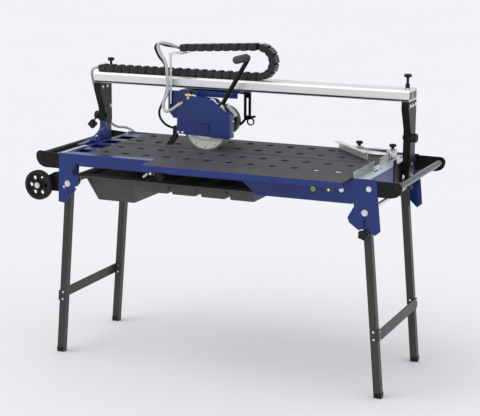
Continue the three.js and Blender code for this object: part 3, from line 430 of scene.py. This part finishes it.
def set_studio():
    """Even pale room with two soft suns and a paper floor."""
    scene.view_settings.view_transform = "Standard"
    world = bpy.data.worlds.new("studio_room")
    scene.world = world
    world.use_nodes = True
    room = world.node_tree.nodes["Background"]
    room.inputs["Color"].default_value = (0.96, 0.97, 1.0, 1)
    room.inputs["Strength"].default_value = 0.84
    sun_light("key_sun", (-0.55, -0.45, 1.0), 0.78, 50)
    sun_light("side_sun", (1.0, -0.25, 0.35), 0.25, 25)
    bm = bmesh.new()
    bmesh.ops.create_grid(bm, x_segments=1, y_segments=1, size=60)
    mesh = bpy.data.meshes.new("studio_floor")
    bm.to_mesh(mesh)
    bm.free()
    pale = finish("floor_paper", (0.86, 0.86, 0.875), 0.9, mottle=(0.5, 0.004), smear=0.02, grain=(80, 0.01))
    mesh.materials.append(pale)
    floor = bpy.data.objects.new("studio_floor", mesh)
    scene.collection.objects.link(floor)


# ---------- energy chain ----------
def chain_link(bm, start, angle, outer=1):
    """One link from a hinge on the chain's mid line, turned by angle about Y.

    Its outer side is closed by a lid; the inner side has one cross bar."""
    made = bmesh.new()
    half = LINK_HEIGHT / 2
    y0, y1 = CHAIN_Y
    cheek = [(-6, -half + 5), (-1, -half + 1), (22, -half + 1), (26, -half + 6),
             (26, half - 6), (22, half - 1), (-1, half - 1), (-6, half - 5)]
    tongue = [(24, -half + 5), (38, -half + 5), (43, -5), (43, 5), (38, half - 5), (24, half - 5)]
    for inner, face in ((y0 + LINK_PLATE, y0), (y1 - LINK_PLATE, y1)):
        deep = 2 * inner - face
        plate(made, "y", cheek, *sorted((inner, face)), edge=0.8)
        plate(made, "y", tongue, *sorted((inner, deep)), edge=0.5)
        rod(made, (36, deep, 0), (36, inner + (face - inner) * 0.6, 0), 4.5, edge=0, sides=10)
    lid = sorted((outer * half, outer * (half - 2.5)))
    box(made, (-4, y0, lid[0]), (27, y1, lid[1]), 0.8)
    bar = sorted((-outer * half, -outer * (half - 3)))
    box(made, (4, y0 + 1, bar[0]), (20, y1 - 1, bar[1]), 0.8)
    made.transform(Matrix.Translation(Vector(start)) @ Matrix.Rotation(-angle, 4, "Y"))
    mesh = bpy.data.meshes.new("link")
    made.to_mesh(mesh)
    made.free()
    bm.from_mesh(mesh)
    bpy.data.meshes.remove(mesh)


def chain_run(start, end, outer):
    """Straight run of links between two points (x, z) of the chain's mid line, with the lines it carries."""
    bm = bmesh.new()
    start, end = Vector(start), Vector(end)
    count = round((end - start).length / LINK_PITCH)
    angle = math.atan2(end.y - start.y, end.x - start.x)
    for i in range(count):
        x, z = start.lerp(end, i / count)
        chain_link(bm, (x, 0, z), angle, outer)
    middle = (CHAIN_Y[0] + CHAIN_Y[1]) / 2
    for level, r, mat in ((middle - 9, 6.5, 1), (middle + 8, 6, 0)):
        rod(bm, (start.x + 6, level, start.y), (end.x + 8, level, end.y), r, mat=mat, edge=0)
    return bm


def chain():
    """Lower run on the beam, loop, and upper run to the carriage."""
    low_z = CHAIN_LOW + LINK_HEIGHT / 2
    top_z = CHAIN_TOP - LINK_HEIGHT / 2
    left_z = top_z - CHAIN_RISE
    lower_run = chain_run((CHAIN_X0 + LINK_START, low_z), (CHAIN_LOOP_X, low_z), -1)
    lower = piece("chain_lower_links", lower_run, (CHAIN, HOSE), None, ("chain_lower_run",),
                  flat=False)
    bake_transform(lower)
    upper_run = chain_run((CHAIN_END_X + LINK_START, left_z), (CHAIN_LOOP_X, top_z), 1)
    upper = piece("chain_upper_links", upper_run, (CHAIN, HOSE), None, ("chain_upper_run",),
                  flat=False)
    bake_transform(upper)
    bm = bmesh.new()
    reach = (top_z - low_z) / 2
    links = 6
    step = math.pi / links
    for i in range(links):
        along = -math.pi / 2 + i * step
        hinge = (CHAIN_LOOP_X + reach * math.cos(along), 0, CHAIN_LOOP_Z + reach * math.sin(along))
        chain_link(bm, hinge, along + math.pi / 2 + step / 2, -1)
    piece("chain_loop_links", bm, (CHAIN,), "chain_bend", ("chain_loop",))


# ---------- bridge ----------
def beam():
    """Two-roomed extrusion with a lip along its back, and the two stop knobs on it."""
    low, high = box_of("beam")
    x0, y0, z0 = low
    x1, _, z1 = high
    y1 = 168
    profile = [
        (y0 + 3, z0), (y1, z0), (y1, z0 + 14), (y1 + 14, z0 + 14), (y1 + 14, z0 + 20), (y1, z0 + 20),
        (y1, z1), (y1 - 14, z1), (y1 - 14, z1 - 4), (y1 - 20, z1 - 4), (y1 - 20, z1), (y0 + 9, z1),
        (y0, z1 - 8), (y0, z0 + 9), (y0 + 3, z0 + 7), (y0 + 3, z0 + 5), (y0 + 1, z0 + 3),
    ]
    middle = (y0 + y1) / 2
    rooms = [[(a, z0 + 6), (b, z0 + 6), (b, z1 - 8), (a, z1 - 8)]
             for a, b in ((y0 + 5, middle - 2), (middle + 2, y1 - 5))]
    bm = bmesh.new()
    plate(bm, "x", profile, x0, x1, edge=0.9, holes=rooms)
    # dark moulded strip in the groove along the front lower edge: painted shade standing for the groove's
    # shadow line
    box(bm, (x0 + 1, y0 + 0.4, z0 + 3), (x1 - 1, y0 + 3.5, z0 + 7.5), 0, mat=2)
    for x in (x0 + 12, x1 - 12):
        for y in (y0 + 22, y1 - 34):
            dome_bolt(bm, (x, y, z1), (0, 0, 1), 6)
    piece("beam_extrusion", bm, (ALUMINIUM, STEEL, MOULDED), "bridge", ("beam",))
    y = y1 - 18
    for side, x in (("left", x0 + 34), ("right", x1 - 34)):
        bm = bmesh.new()
        rod(bm, (x, y, z1 + 0.5), (x, y, z1 + 16), 9)
        rod(bm, (x, y, z1 + 14), (x, y, z1 + 44), 5.5, sides=18)
        star_knob(bm, (x, y, z1 + 40), "z", 16, 14)
        piece(f"stop_knob_{side}_grip", bm, (MOULDED,), f"stop_{side}", (f"stop_knob_{side}",))


def arms():
    """Channel arms under the beam's ends, the posts that hold them, and their clamp knobs."""
    for side, sign in (("left", -1), ("right", 1)):
        bm = eased_node(f"bridge_arm_{side}", 1.0)
        low, high = box_of(f"bridge_arm_{side}")
        outer = low.x if sign < 0 else high.x
        way = (sign, 0, 0)
        for y, z in ((78, 1098), (110, 1098), (146, 1098)):
            dome_bolt(bm, (outer, y, z), way, 6.5)
        inner = high.x if sign < 0 else low.x
        inward = (-sign, 0, 0)
        for y, z in ((82, 1096), (122, 1096)):
            dome_bolt(bm, (inner, y, z), inward, 6, mat=1)
        bolt(bm, (inner, 146, 1006), inward, 6)
        piece(f"bridge_arm_{side}_channel", bm, (BLACK, STEEL), "bridge", (f"bridge_arm_{side}",))

        bm = eased_node(f"upright_base_{side}", 1.2)
        low, high = box_of(f"upright_base_{side}")
        paint = BLUE if sign < 0 else BLACK
        outer = low.x if sign < 0 else high.x
        for y, z in ((130, 860), (20, 826), (130, 812)):
            bolt(bm, (outer, y, z), way, 6.5, height=4)
        if sign < 0:
            for y, z in ((40, 884), (112, 930), (100, 886)):
                dome_bolt(bm, (high.x - 22, y, z), (0, -1, 0.4), 5)
        piece(f"upright_base_{side}_post", bm, (paint, STEEL), "bridge", (f"upright_base_{side}",))

        bm = eased_node(f"tilt_knob_{side}", 1.2, turn=40)
        low, high = box_of(f"tilt_knob_{side}")
        x = low.x if sign < 0 else high.x
        y, z = (low.y + high.y) / 2, (low.z + high.z) / 2
        for a, b in ring(y, z, 16.4, 12):    # ribs of the grip
            rod(bm, (x - sign * 3, a, b), (x - sign * 18, a, b), 1.8, edge=0.5, sides=8)
        rod(bm, (x - sign * 1, y, z), (x, y, z), 9, mat=1, edge=0.3)
        if sign < 0:    # only the left clamp has a lever with a block at its end
            rod(bm, (x + 6, y - 12, z - 12), (x - 8, y - 12, z - 30), 3.5, edge=0.5, sides=12)
            box(bm, (x - 25, y - 24, z - 54), (x + 5, y, z - 24), 3, turned=Matrix.Rotation(0.75, 4, "Y"))
        piece(f"arm_clamp_{side}_grip", bm, (MOULDED, STEEL), f"arm_clamp_{side}", (f"tilt_knob_{side}",))


# ---------- table ----------
def table():
    """Two coated sheets with round holes, folded down round their edges."""
    columns = [HOLE_X0 + HOLE_PITCH * i for i in range(12)]
    under = TABLE_Z - TABLE_SHEET
    for name, skirt_side in (("table_panel_front", 1), ("table_panel_rear", -1)):
        low, high = box_of(name)
        bm = bmesh.new()
        holes = [ring(x, y, HOLE_R, 28) for y in HOLE_ROWS if low.y < y < high.y for x in columns]
        outline = [(low.x, low.y), (high.x, low.y), (high.x, high.y), (low.x, high.y)]
        plate(bm, "z", outline, under, TABLE_Z, edge=1.1, holes=holes)
        box(bm, (low.x + 1, low.y + 0.2, TABLE_Z - 7.5), (high.x - 1, low.y + 3, TABLE_Z - 3), 0.6)
        box(bm, (low.x + 1, high.y - 3, TABLE_Z - 7.5), (high.x - 1, high.y - 0.2, TABLE_Z - 3), 0.6)
        y0, y1 = (high.y - 3, high.y) if skirt_side > 0 else (low.y, low.y + 3)
        box(bm, (low.x + 1, y0 + 0.2, low.z), (high.x - 1, y1 - 0.2, under), 0.6)
        piece(f"{name}_sheet", bm, (TABLE,), "frame", (name,))


def extension():
    """Sheet of the side extension with its rod ends, and its locking knob."""
    bm = eased_node("side_extension", 1.2)
    low, high = box_of("side_extension")
    for face in bm.faces:
        if face.normal.y < -0.4 and face.calc_center_median().y < low.y + 3:
            face.material_index = 2    # the lip is painted, the top is coated
    for x in (-200, 540):
        rod(bm, (x, low.y + 1, 838), (x, low.y + 4, 838), 5, mat=1, edge=0.5)
    piece("side_extension_sheet", bm, (TABLE, STEEL, BLUE), "extension", ("side_extension",))
    low, high = box_of("extension_knob")
    x, z = (low.x + high.x) / 2, (low.z + high.z) / 2
    bm = bmesh.new()
    star_knob(bm, (x, -306, z), "y", 18, 13, sign=-1)
    rod(bm, (x, -304, z), (x, high.y, z), 4, mat=1)
    piece("extension_knob_grip", bm, (MOULDED, STEEL), "extension_lock", ("extension_knob",))


# ---------- frame ----------
def side_panels():
    """Both side panels and end plates, and the small parts fixed to them."""
    for name, sign in (("front_side_panel", -1), ("rear_side_panel", 1)):
        bm = eased_node(name, 0.9)
        face = sign * SIDE_Y
        way = (0, sign, 0)
        for x, z, r in ((665, 833, 8), (557, 822, 7)):
            bolt(bm, (x, face, z), way, r, height=4)
        dome_bolt(bm, (-645, face, 731), way, 5)
        # slot below the right leg pivot, drawn as a thin black sheet on the panel as painted shade of the
        # opening, and the latch below the left one
        plate(bm, "y", slot_loop(651, 706, 4, 14, math.pi / 2), *sorted((face, face + sign * 0.6)), mat=2,
              edge=0)
        plate(bm, "y", [(-641, 717), (-606, 722), (-600, 708), (-618, 699), (-636, 703)],
              *sorted((face, face + sign * 5)), mat=0, edge=1.5)
        rod(bm, (-624, face, 711), (-624, face + sign * 6, 711), 5, mat=2, edge=0.8)
        piece(f"{name}_steel", bm, (BLUE, STEEL, MOULDED), "frame", (name,))
    for name in ("left_end_plate", "right_end_plate"):
        bm = eased_node(name, 0.8)
        piece(f"{name}_steel", bm, (BLUE,), "frame", (name,))

    # black corner clip, strut with its bolt, end strip and bumper on the frame
    bm = bmesh.new()
    plate(bm, "y", [(-602, 806), (-585, 832), (-577, 826), (-583, 784), (-600, 781)], -309, -303.4, edge=1.2)
    box(bm, (-604, -311, 790), (-585, -303.4, 803), 1.5)
    piece("tray_corner_clip", bm, (MOULDED,), "frame", ())
    bm = bmesh.new()
    rod(bm, (-229, -312, 838), (-277, -312, 803), 4.5, edge=1)
    bolt(bm, (-229, -308, 838), (0, -1, 0), 7)
    piece("mouth_strut", bm, (CAST, STEEL), "frame", ())
    bm = bmesh.new()
    rod(bm, (445, -303.5, 818), (445, -311, 818), 11, edge=2.5)
    piece("extension_bumper", bm, (BUMPER,), "frame", ())
    bm = bmesh.new()
    box(bm, (-662, -296, 869), (-646, -100, 871.5), 0.8)
    piece("end_edge_strip", bm, (ZINC,), "frame", ())


def handles():
    """Carry-handle tubes and the plates that hold their ends."""
    for side, sign in (("left", -1), ("right", 1)):
        low, high = box_of(f"handle_tube_{side}")
        x, z = (low.x + high.x) / 2, (low.z + high.z) / 2
        bm = bmesh.new()
        rod(bm, (x, -HANDLE_HALF, z), (x, HANDLE_HALF, z), HANDLE_R, edge=1.5, sides=36)
        metal = BLACK if sign < 0 else GLOSS
        for y in (-HANDLE_HALF - 0.2, HANDLE_HALF + 0.2):
            rod(bm, (x, y, z), (x, y * 1.004, z), 10, mat=1, edge=0.4)
        piece(f"handle_tube_{side}_bar", bm, (metal, MOULDED), "frame", (f"handle_tube_{side}",))
        for end, out in (("front", -1), ("rear", 1)):
            node_name = f"handle_plate_{side}_{end}"
            bm = eased_node(node_name, 0.9)
            low_p, high_p = box_of(node_name)
            face = low_p.y if out < 0 else high_p.y
            dome_bolt(bm, (x, face, z), (0, out, 0), 9)
            piece(f"{node_name}_steel", bm, (BLACK, MOULDED), "frame", (node_name,))


def legs():
    """Two folding leg frames: tubes with feet and brace bolts, brace, and pivot bolt with nuts."""
    for side, sign in (("left", -1), ("right", 1)):
        body = f"leg_frame_{side}"
        for end in ("front", "rear"):
            name = f"leg_{side}_{end}"
            bm = eased_node(name, 2.2)
            low, high = box_of(name)
            foot_x = low.x + LEG_HALF if sign < 0 else high.x - LEG_HALF
            box(bm, (foot_x - 15.5, low.y - 0.5, 0), (foot_x + 15.5, high.y + 0.5, 22), 2, mat=1)
            for z in (235, 265):
                x = foot_x + LEG_LEAN[side] * z
                out = x + sign * 15.5
                y = low.y + LEG_HALF
                rod(bm, (x, low.y - 1.5, z), (x, low.y + 1, z), 4.5, mat=2, edge=0.6)
                rod(bm, (out - sign, y, z), (out + sign * 7.5, y, z), 4.5, mat=2, edge=0.6)
            piece(f"{name}_tube", bm, (LEG, MOULDED, STEEL), body, (name,))
        bm = eased_node(f"leg_brace_{side}", 1.4)
        piece(f"leg_brace_{side}_bar", bm, (LEG,), body, (f"leg_brace_{side}",))
        bm = bmesh.new()
        low, high = box_of(f"pivot_shaft_{side}")
        x, z = (low.x + high.x) / 2, (low.z + high.z) / 2
        rod(bm, (x, -SIDE_Y - 0.2, z), (x, SIDE_Y + 0.2, z), 8)
        for out in (-1, 1):
            bolt(bm, (x, out * (SIDE_Y + 0.3), z), (0, out, 0), 9.5, mat=0, height=5)
            rod(bm, (x, out * (SIDE_Y + 6), z), (x, out * (SIDE_Y + 7), z), 4, mat=0, edge=0.3)
        piece(f"pivot_shaft_{side}_bolt", bm, (STEEL,), body, (f"pivot_shaft_{side}",))
    bm = bmesh.new()
    low, high = box_of("leg_knob")
    x, z = (low.x + high.x) / 2, (low.z + high.z) / 2
    star_knob(bm, (x, -305, z), "y", 21, 17, lobes=5, sign=-1)
    rod(bm, (x, -303.5, z), (x, high.y, z), 4, mat=1)
    piece("leg_knob_grip", bm, (MOULDED, STEEL), "leg_lock", ("leg_knob",))


def wheels():
    """Transport wheels with six round openings and six ribs, and their brackets."""
    for end, sign in (("front", -1), ("rear", 1)):
        low, high = box_of(f"wheel_{end}")
        x, z = (low.x + high.x) / 2, (low.z + high.z) / 2
        y = (low.y + high.y) / 2
        centre = (x, y, z)
        bm = bmesh.new()
        r = (high.x - low.x) / 2
        tyre = [(r - 13, -11), (r - 3, -11), (r, -7), (r, 7), (r - 3, 11), (r - 13, 11), (r - 15, 8),
                (r - 15, -8)]
        lathe(bm, tyre, centre, mat=1)
        for level in (-7, -2.5, 2.5, 7):
            tread = [(r - 1.5, level - 0.8), (r, level - 0.5), (r, level + 0.5), (r - 1.5, level + 0.8)]
            lathe(bm, tread, centre, mat=1)
        openings = [ring(a, b, 8, 16) for a, b in ring(x, z, 34, 6)]
        plate(bm, "y", ring(x, z, r - 14, 40), y - 4, y + 4, edge=0.7, holes=[*openings, ring(x, z, 8, 16)])
        lathe(bm, [(6.5, -13), (15, -13), (18, -9), (19, 0), (18, 9), (15, 13), (6.5, 13)], centre)
        for i in range(6):
            angle = (i + 0.5) * math.pi / 3
            away = Vector((math.cos(angle), 0, math.sin(angle)))
            for out in (-1, 1):
                near = Vector((x, y + out * 5.5, z)) + away * 18
                rod(bm, near, near + away * (r - 33), 2.2, edge=0.3, sides=8)
        piece(f"wheel_{end}_tyre", bm, (MOULDED, RUBBER), f"wheel_{end}_spin", (f"wheel_{end}",))
        bm = eased_node(f"wheel_bracket_{end}", 0.8)
        bolt(bm, (x, y + sign * 14, z), (0, sign, 0), 9, height=5)
        bolt(bm, (x, y - sign * 23, z), (0, -sign, 0), 8, height=4)
        piece(f"wheel_bracket_{end}_steel", bm, (BLACK, STEEL), "frame", (f"wheel_bracket_{end}",))


def tray():
    """Moulded tray with beads along its rim and ribs on its four pockets."""
    bm = eased_node("water_tray", 3.5, turn=25)
    low, high = box_of("water_tray")
    for y in (low.y + 3, high.y - 3):
        rod(bm, (low.x + 6, y, high.z), (high.x - 6, y, high.z), 2.2, edge=0.5, sides=12)
    for out in (-1, 1):
        y = out * POCKET_Y
        for x in POCKET_X:
            for along in (30, 88):
                rod(bm, (x + along, y - out * 3, 770), (x + along, y - out * 14, 728), 2, edge=0.6, sides=10)
    piece("water_tray_moulding", bm, (PLASTIC,), "frame", ("water_tray",))


# ---------- fence and mitre guide ----------
def guide():
    """Fence plate with its scale, guide arm, mitre bar and their knobs."""
    bm = eased_node("fence_plate", 0.7)
    for x, y in ((635, -250), (635, -60), (635, 60), (635, 210)):
        bolt(bm, (x, y, TABLE_Z), (0, 0, 1), 6, mat=1, height=4)
    for i in range(24):
        y = -290 + i * 10
        long = 8 if i % 5 == 0 else 5
        box(bm, (618 - long, y - 0.4, TABLE_Z - 0.2), (618, y + 0.4, TABLE_Z + 0.25), 0, mat=2)
    piece("fence_plate_sheet", bm, (ZINC, STEEL, MOULDED), "frame", ("fence_plate",))
    bm = eased_node("guide_arm", 0.9)
    box(bm, (462, 198.5, 896.6), (580, 201.5, 897.4), 0, mat=1)
    piece("guide_arm_bar", bm, (ALUMINIUM, MOULDED), "guide", ("guide_arm",))
    bm = eased_node("miter_bar", 0.8)
    piece("miter_bar_angle", bm, (ALUMINIUM,), "miter", ("miter_bar",))
    for node_name, body in (("guide_clamp_knob", "guide_clamp"), ("miter_knob", "miter_lock")):
        low, high = box_of(node_name)
        x, y = (low.x + high.x) / 2, (low.y + high.y) / 2
        bm = bmesh.new()
        top = high.z
        rod(bm, (x, y, low.z), (x, y, top - 11), 4.2, mat=1, edge=0.5)
        rod(bm, (x, y, top - 20), (x, y, top - 10), 7, edge=1)
        star_knob(bm, (x, y, top - 14), "z", 15, 13)
        piece(f"{node_name}_grip", bm, (MOULDED, STEEL), body, (node_name,))


# ---------- saw head ----------
def carriage():
    """Carriage body with its rollers, chain post with tube clips, and depth link."""
    bm = eased_node("carriage_body", 1.0)
    piece("carriage_body_steel", bm, (BLUE, STEEL), "carriage", ("carriage_body",))
    for side in ("left", "right"):
        name = f"carriage_roller_{side}"
        low, high = box_of(name)
        centre = ((low.x + high.x) / 2, (low.y + high.y) / 2, (low.z + high.z) / 2)
        bm = bmesh.new()
        lathe(bm, [(4.5, -5), (12, -5), (14, -4), (12.5, -1), (12.5, 1), (14, 4), (12, 5), (4.5, 5)], centre)
        piece(f"{name}_wheel", bm, (STEEL,), f"roller_{side}", (name,))
    bm = eased_node("chain_post", 0.8, turn=46)
    for z in (1120, 1190, 1250):
        lathe(bm, [(5.2, -2), (7, -2), (7, 2), (5.2, 2)], (POST_X, POST_Y, z), axis="z", mat=1)
    piece("chain_post_tube", bm, (STEEL, CLEAR), "carriage", ("chain_post",))
    bm = eased_node("depth_link", 0.9)
    low, high = box_of("depth_link")
    x = (low.x + high.x) / 2
    bolt(bm, (-45, 211, 1080), (0, 1, 0), 7)
    lathe(bm, [(12, -3), (17, -3), (17, 3), (12, 3)], (x + 10, 206, low.z - 4), mat=0, steps=24)
    rod(bm, (x + 4, 199, low.z + 14), (x + 34, 199, low.z + 20), 5, edge=1)
    tube(bm, [(-92, 236, 948), (-74, 238, 968), (-58, 226, 986), (-36, 212, 990)], 5.5)
    piece("depth_link_strap", bm, (BLACK, STEEL), "head_hook", ("depth_link",))


def guard():
    """Blade guard with its panel, catch, bolts and water fittings."""
    bm = eased_node("blade_guard", 2.2, turn=25)
    front = GUARD_FACE
    # two bolts at the lower left corner, a raised panel at the lower right and a catch beside it
    for x in (-266, -247):
        bolt(bm, (x, front, 940), (0, -1, 0), 4.5, height=3)
    panel = [(-128, 928.5), (-36, 925.5), (-36, 968), (-119, 1000), (-128, 992)]
    plate(bm, "y", panel, front - 1.6, front + 0.5, mat=0, edge=0.8)
    box(bm, (-158, front - 4.5, 984), (-121, front + 1, 993), 2)
    rod(bm, (-128, front - 4, 988), (-128, front - 4, 958), 3, edge=0.8)
    box(bm, (-132, front - 6, 953), (-123, front + 1, 961), 1.2)
    box(bm, (-36.5, front + 6, 930), (-34, 34, 1020), 0.8)
    for z in (950, 996):
        dome_bolt(bm, (-34.4, 24, z), (1, 0, 0), 4)
    # water pipe along the top left slope, brass fittings and short clear tubes
    rod(bm, (-274, -2, 1035), (-222, -2, 1090), 6.5, mat=0, edge=1.5)
    rod(bm, (-262, -6, 1052), (-246, -6, 1068), 7.5, mat=2, edge=1, sides=6)
    rod(bm, (-222, -4, 1086), (-222, -4, 1104), 6.5, mat=2, edge=1, sides=6)
    rod(bm, (-236, -4, 1096), (-208, -4, 1096), 5.5, mat=2, edge=1)
    rod(bm, (-66, -2, 1036), (-66, -2, 1060), 7, mat=2, edge=1, sides=6)
    rod(bm, (-60, -4, 1040), (-44, -4, 1020), 5, mat=3, edge=1)
    tube(bm, [(-208, -4, 1096), (-198, -4, 1097), (-190, 0, 1093)], 3.6, mat=3)
    tube(bm, [(-122, -3, 1084), (-108, -5, 1083), (-96, -4, 1072)], 4.5, mat=3)
    for x, z in ((-222, 1080), (-92, 1064)):
        box(bm, (x - 5, -9, z - 4), (x + 5, 6, z + 8), 1, mat=1)
    piece("blade_guard_shell", bm, (BLUE, STEEL, BRASS, CLEAR), "head", ("blade_guard",))


def blade():
    """Disc with a diamond rim and twelve small holes, and its flanges."""
    centre = (BLADE_X, BLADE_Y, BLADE_Z)
    rim = BLADE_R - 8
    bm = bmesh.new()
    holes = [ring(a, b, 3, 12) for a, b in ring(BLADE_X, BLADE_Z, BLADE_R - 16, 12)]
    plate(bm, "y", ring(BLADE_X, BLADE_Z, rim + 0.5, 96), BLADE_Y - 0.9, BLADE_Y + 0.9, edge=0.15,
          holes=[*holes, ring(BLADE_X, BLADE_Z, 11.5, 32)])
    lathe(bm, [(rim, -1.2), (BLADE_R, -1.2), (BLADE_R, 1.2), (rim, 1.2)], centre, mat=1, steps=96)
    piece("blade_disc", bm, (DISC, RIM), "blade_spin", ("blade",))
    bm = eased_node("spindle", 0.8, turn=46)
    piece("spindle_flanges", bm, (STEEL,), "blade_spin", ("spindle",))


def motor():
    """Motor along its axis: flange, grille ring, finned body with a bright cover, fan grille, bell."""
    low, high = box_of("motor_housing")
    r = (high.x - low.x) / 2
    end = high.y
    centre = (BLADE_X, 0, BLADE_Z)
    bm = bmesh.new()
    body = r - 5
    lathe(bm, [(12, 38.6), (28, 38.6), (28, 48), (body - 14, 50), (body - 2, 54), (body, 60), (body, 200),
               (body - 3, 206), (12, 206)], centre, mat=2, steps=56)
    for i in range(10):
        y = 112 + i * 9.4
        fin = [(body - 1, y - 1.5), (body + 2, y - 1.2), (body + 2, y + 1.2), (body - 1, y + 1.5)]
        lathe(bm, fin, centre, mat=2, steps=48)
    # enamelled grille ring behind the guard
    for y in (60, 98):
        lathe(bm, [(body - 2, y), (r - 0.5, y), (r - 0.5, y + 5), (body - 2, y + 5)], centre, mat=1, steps=48)
    for a, b in ring(BLADE_X, BLADE_Z, r - 3, 44):
        rod(bm, (a, 62, b), (a, 101, b), 2, mat=1, edge=0, sides=8)
    # bright cover over the top, and the terminal box
    arc = [math.radians(20 + 6 * i) for i in range(21)]
    cover = [(BLADE_X + r * math.cos(a), BLADE_Z + r * math.sin(a)) for a in arc]
    cover += [(BLADE_X + (r - 3) * math.cos(a), BLADE_Z + (r - 3) * math.sin(a)) for a in reversed(arc)]
    plate(bm, "y", cover, 106, 204, edge=0.8)
    box(bm, (BLADE_X - 34, 72, BLADE_Z + r - 9), (BLADE_X + 34, 184, high.z), 5)
    for x in (-26, 26):
        for y in (80, 176):
            dome_bolt(bm, (BLADE_X + x, y, high.z - 0.5), (0, 0, 1), 3, mat=3)
    # fan grille: slim bars between two rings, then the black end bell with its ribs
    lathe(bm, [(r - 14, 205.5), (r - 3, 205.5), (r - 3, 209), (r - 14, 209)], centre, mat=1, steps=48)
    lathe(bm, [(r - 16, 216), (r - 3, 216), (r - 3, 220), (r - 16, 220)], centre, mat=1, steps=48)
    lathe(bm, [(12, 204), (r - 16, 204), (r - 16, 222), (12, 222)], centre, mat=2, steps=36)
    for a, b in ring(BLADE_X, BLADE_Z, r - 5, 36):
        rod(bm, (a, 208, b), (a, 217, b), 1.7, mat=1, edge=0, sides=8)
    bell = r - 4
    lathe(bm, [(0, end), (20, end - 1), (bell - 14, end - 6), (bell - 4, end - 13), (bell, end - 22),
               (bell, 219.5), (30, 219.5), (0, 219.5)], centre, mat=2, steps=48)
    for i in range(12):
        angle = math.pi * i / 6
        away = Vector((math.cos(angle), 0, math.sin(angle)))
        near = Vector((BLADE_X, end - 1.2, BLADE_Z)) + away * 14
        rod(bm, near, Vector((BLADE_X, end - 8, BLADE_Z)) + away * (bell - 12), 1.6, mat=1, edge=0.3, sides=8)
    rod(bm, (-232, 92, 955), (-208, 92, 958), 9, mat=2, edge=1.5)
    piece("motor_casing", bm, (CAST, GRILLE, MOULDED, STEEL), "head", ("motor_housing",))


def lever():
    """Handle lever with its ribbed grip, and the splash flap."""
    bm = bmesh.new()
    tube(bm, [(-72, 6, 1068), (-60, 6, 1089), (20, 6, 1224), (37, 6, 1253), (43, 2, 1264), (45, -8, 1267),
              (45, -26, 1267)], 9.5)
    box(bm, (-84, -4, 1050), (-56, 16, 1068), 3)
    bolt(bm, (-70, -4, 1059), (0, -1, 0), 5)
    piece("handle_lever_tube", bm, (BLACK, STEEL), "head", ("handle_lever",))
    low, high = box_of("handle_grip")
    centre = ((low.x + high.x) / 2, 0, (low.z + high.z) / 2)
    length = high.y - low.y
    profile = [(0, low.y), (10, low.y + 0.6), (14.5, low.y + 3.5), (16, low.y + 8)]
    ribs = 14
    step = (length - 20) / ribs
    for i in range(ribs):
        y = low.y + 10 + i * step
        profile += [(16, y), (16, y + step * 0.55), (15, y + step * 0.62), (15, y + step * 0.93)]
    profile += [(16, high.y - 8), (16, high.y - 3), (14, high.y), (0, high.y)]
    bm = bmesh.new()
    lathe(bm, profile, centre, steps=32)
    piece("handle_grip_sleeve", bm, (GRIP,), "head", ("handle_grip",))
    bm = eased_node("splash_flap", 1.2)
    piece("splash_flap_rubber", bm, (RUBBER,), "head", ("splash_flap",))


# Each hose's radius and the points of its route.
HOSES = {
    "water_hose": (6.5, [
        (-315, 88, 1281), (-340, 40, 1301), (-372, 25, 1299), (-364, 25, 1262), (-338, 19, 1222),
        (-330, 19, 1150), (-331, 19, 1096), (-342, 6, 1056), (-330, -4, 1026), (-302, -10, 1030),
        (-276, -14, 1046), (-258, -8, 1062)]),
    "motor_cable": (5.0, [
        (-315, 108, 1277), (-350, 62, 1289), (-388, 34, 1293), (-380, 30, 1256), (-350, 34, 1214),
        (-338, 35, 1150), (-344, 34, 1092), (-362, 36, 1050), (-378, 38, 1008), (-366, 44, 972),
        (-326, 62, 944), (-262, 84, 940), (-226, 92, 955)]),
    "supply_hose": (6.0, [
        (-702, 96, 1177), (-728, 100, 1167), (-744, 130, 1110), (-742, 190, 1010), (-740, 246, 934),
        (-722, 296, 890), (-684, 322, 882), (-646, 326, 862), (-620, 320, 826), (-610, 312, 790)]),
}


def hoses():
    """Hoses and cable, each a fixed tube through the points of its route, on no body."""
    for name, (r, points) in HOSES.items():
        bm = bmesh.new()
        tube(bm, points, r)
        material = MOULDED if name == "motor_cable" else HOSE
        made = piece(f"{name}_run", bm, (material,), None, (name,), flat=False)
        if name == "supply_hose":
            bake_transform(made)
        else:
            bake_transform(made)


set_camera()
set_studio()
chain()
beam()
arms()
table()
extension()
side_panels()
handles()
legs()
wheels()
tray()
guide()
carriage()
guard()
blade()
motor()
lever()
hoses()
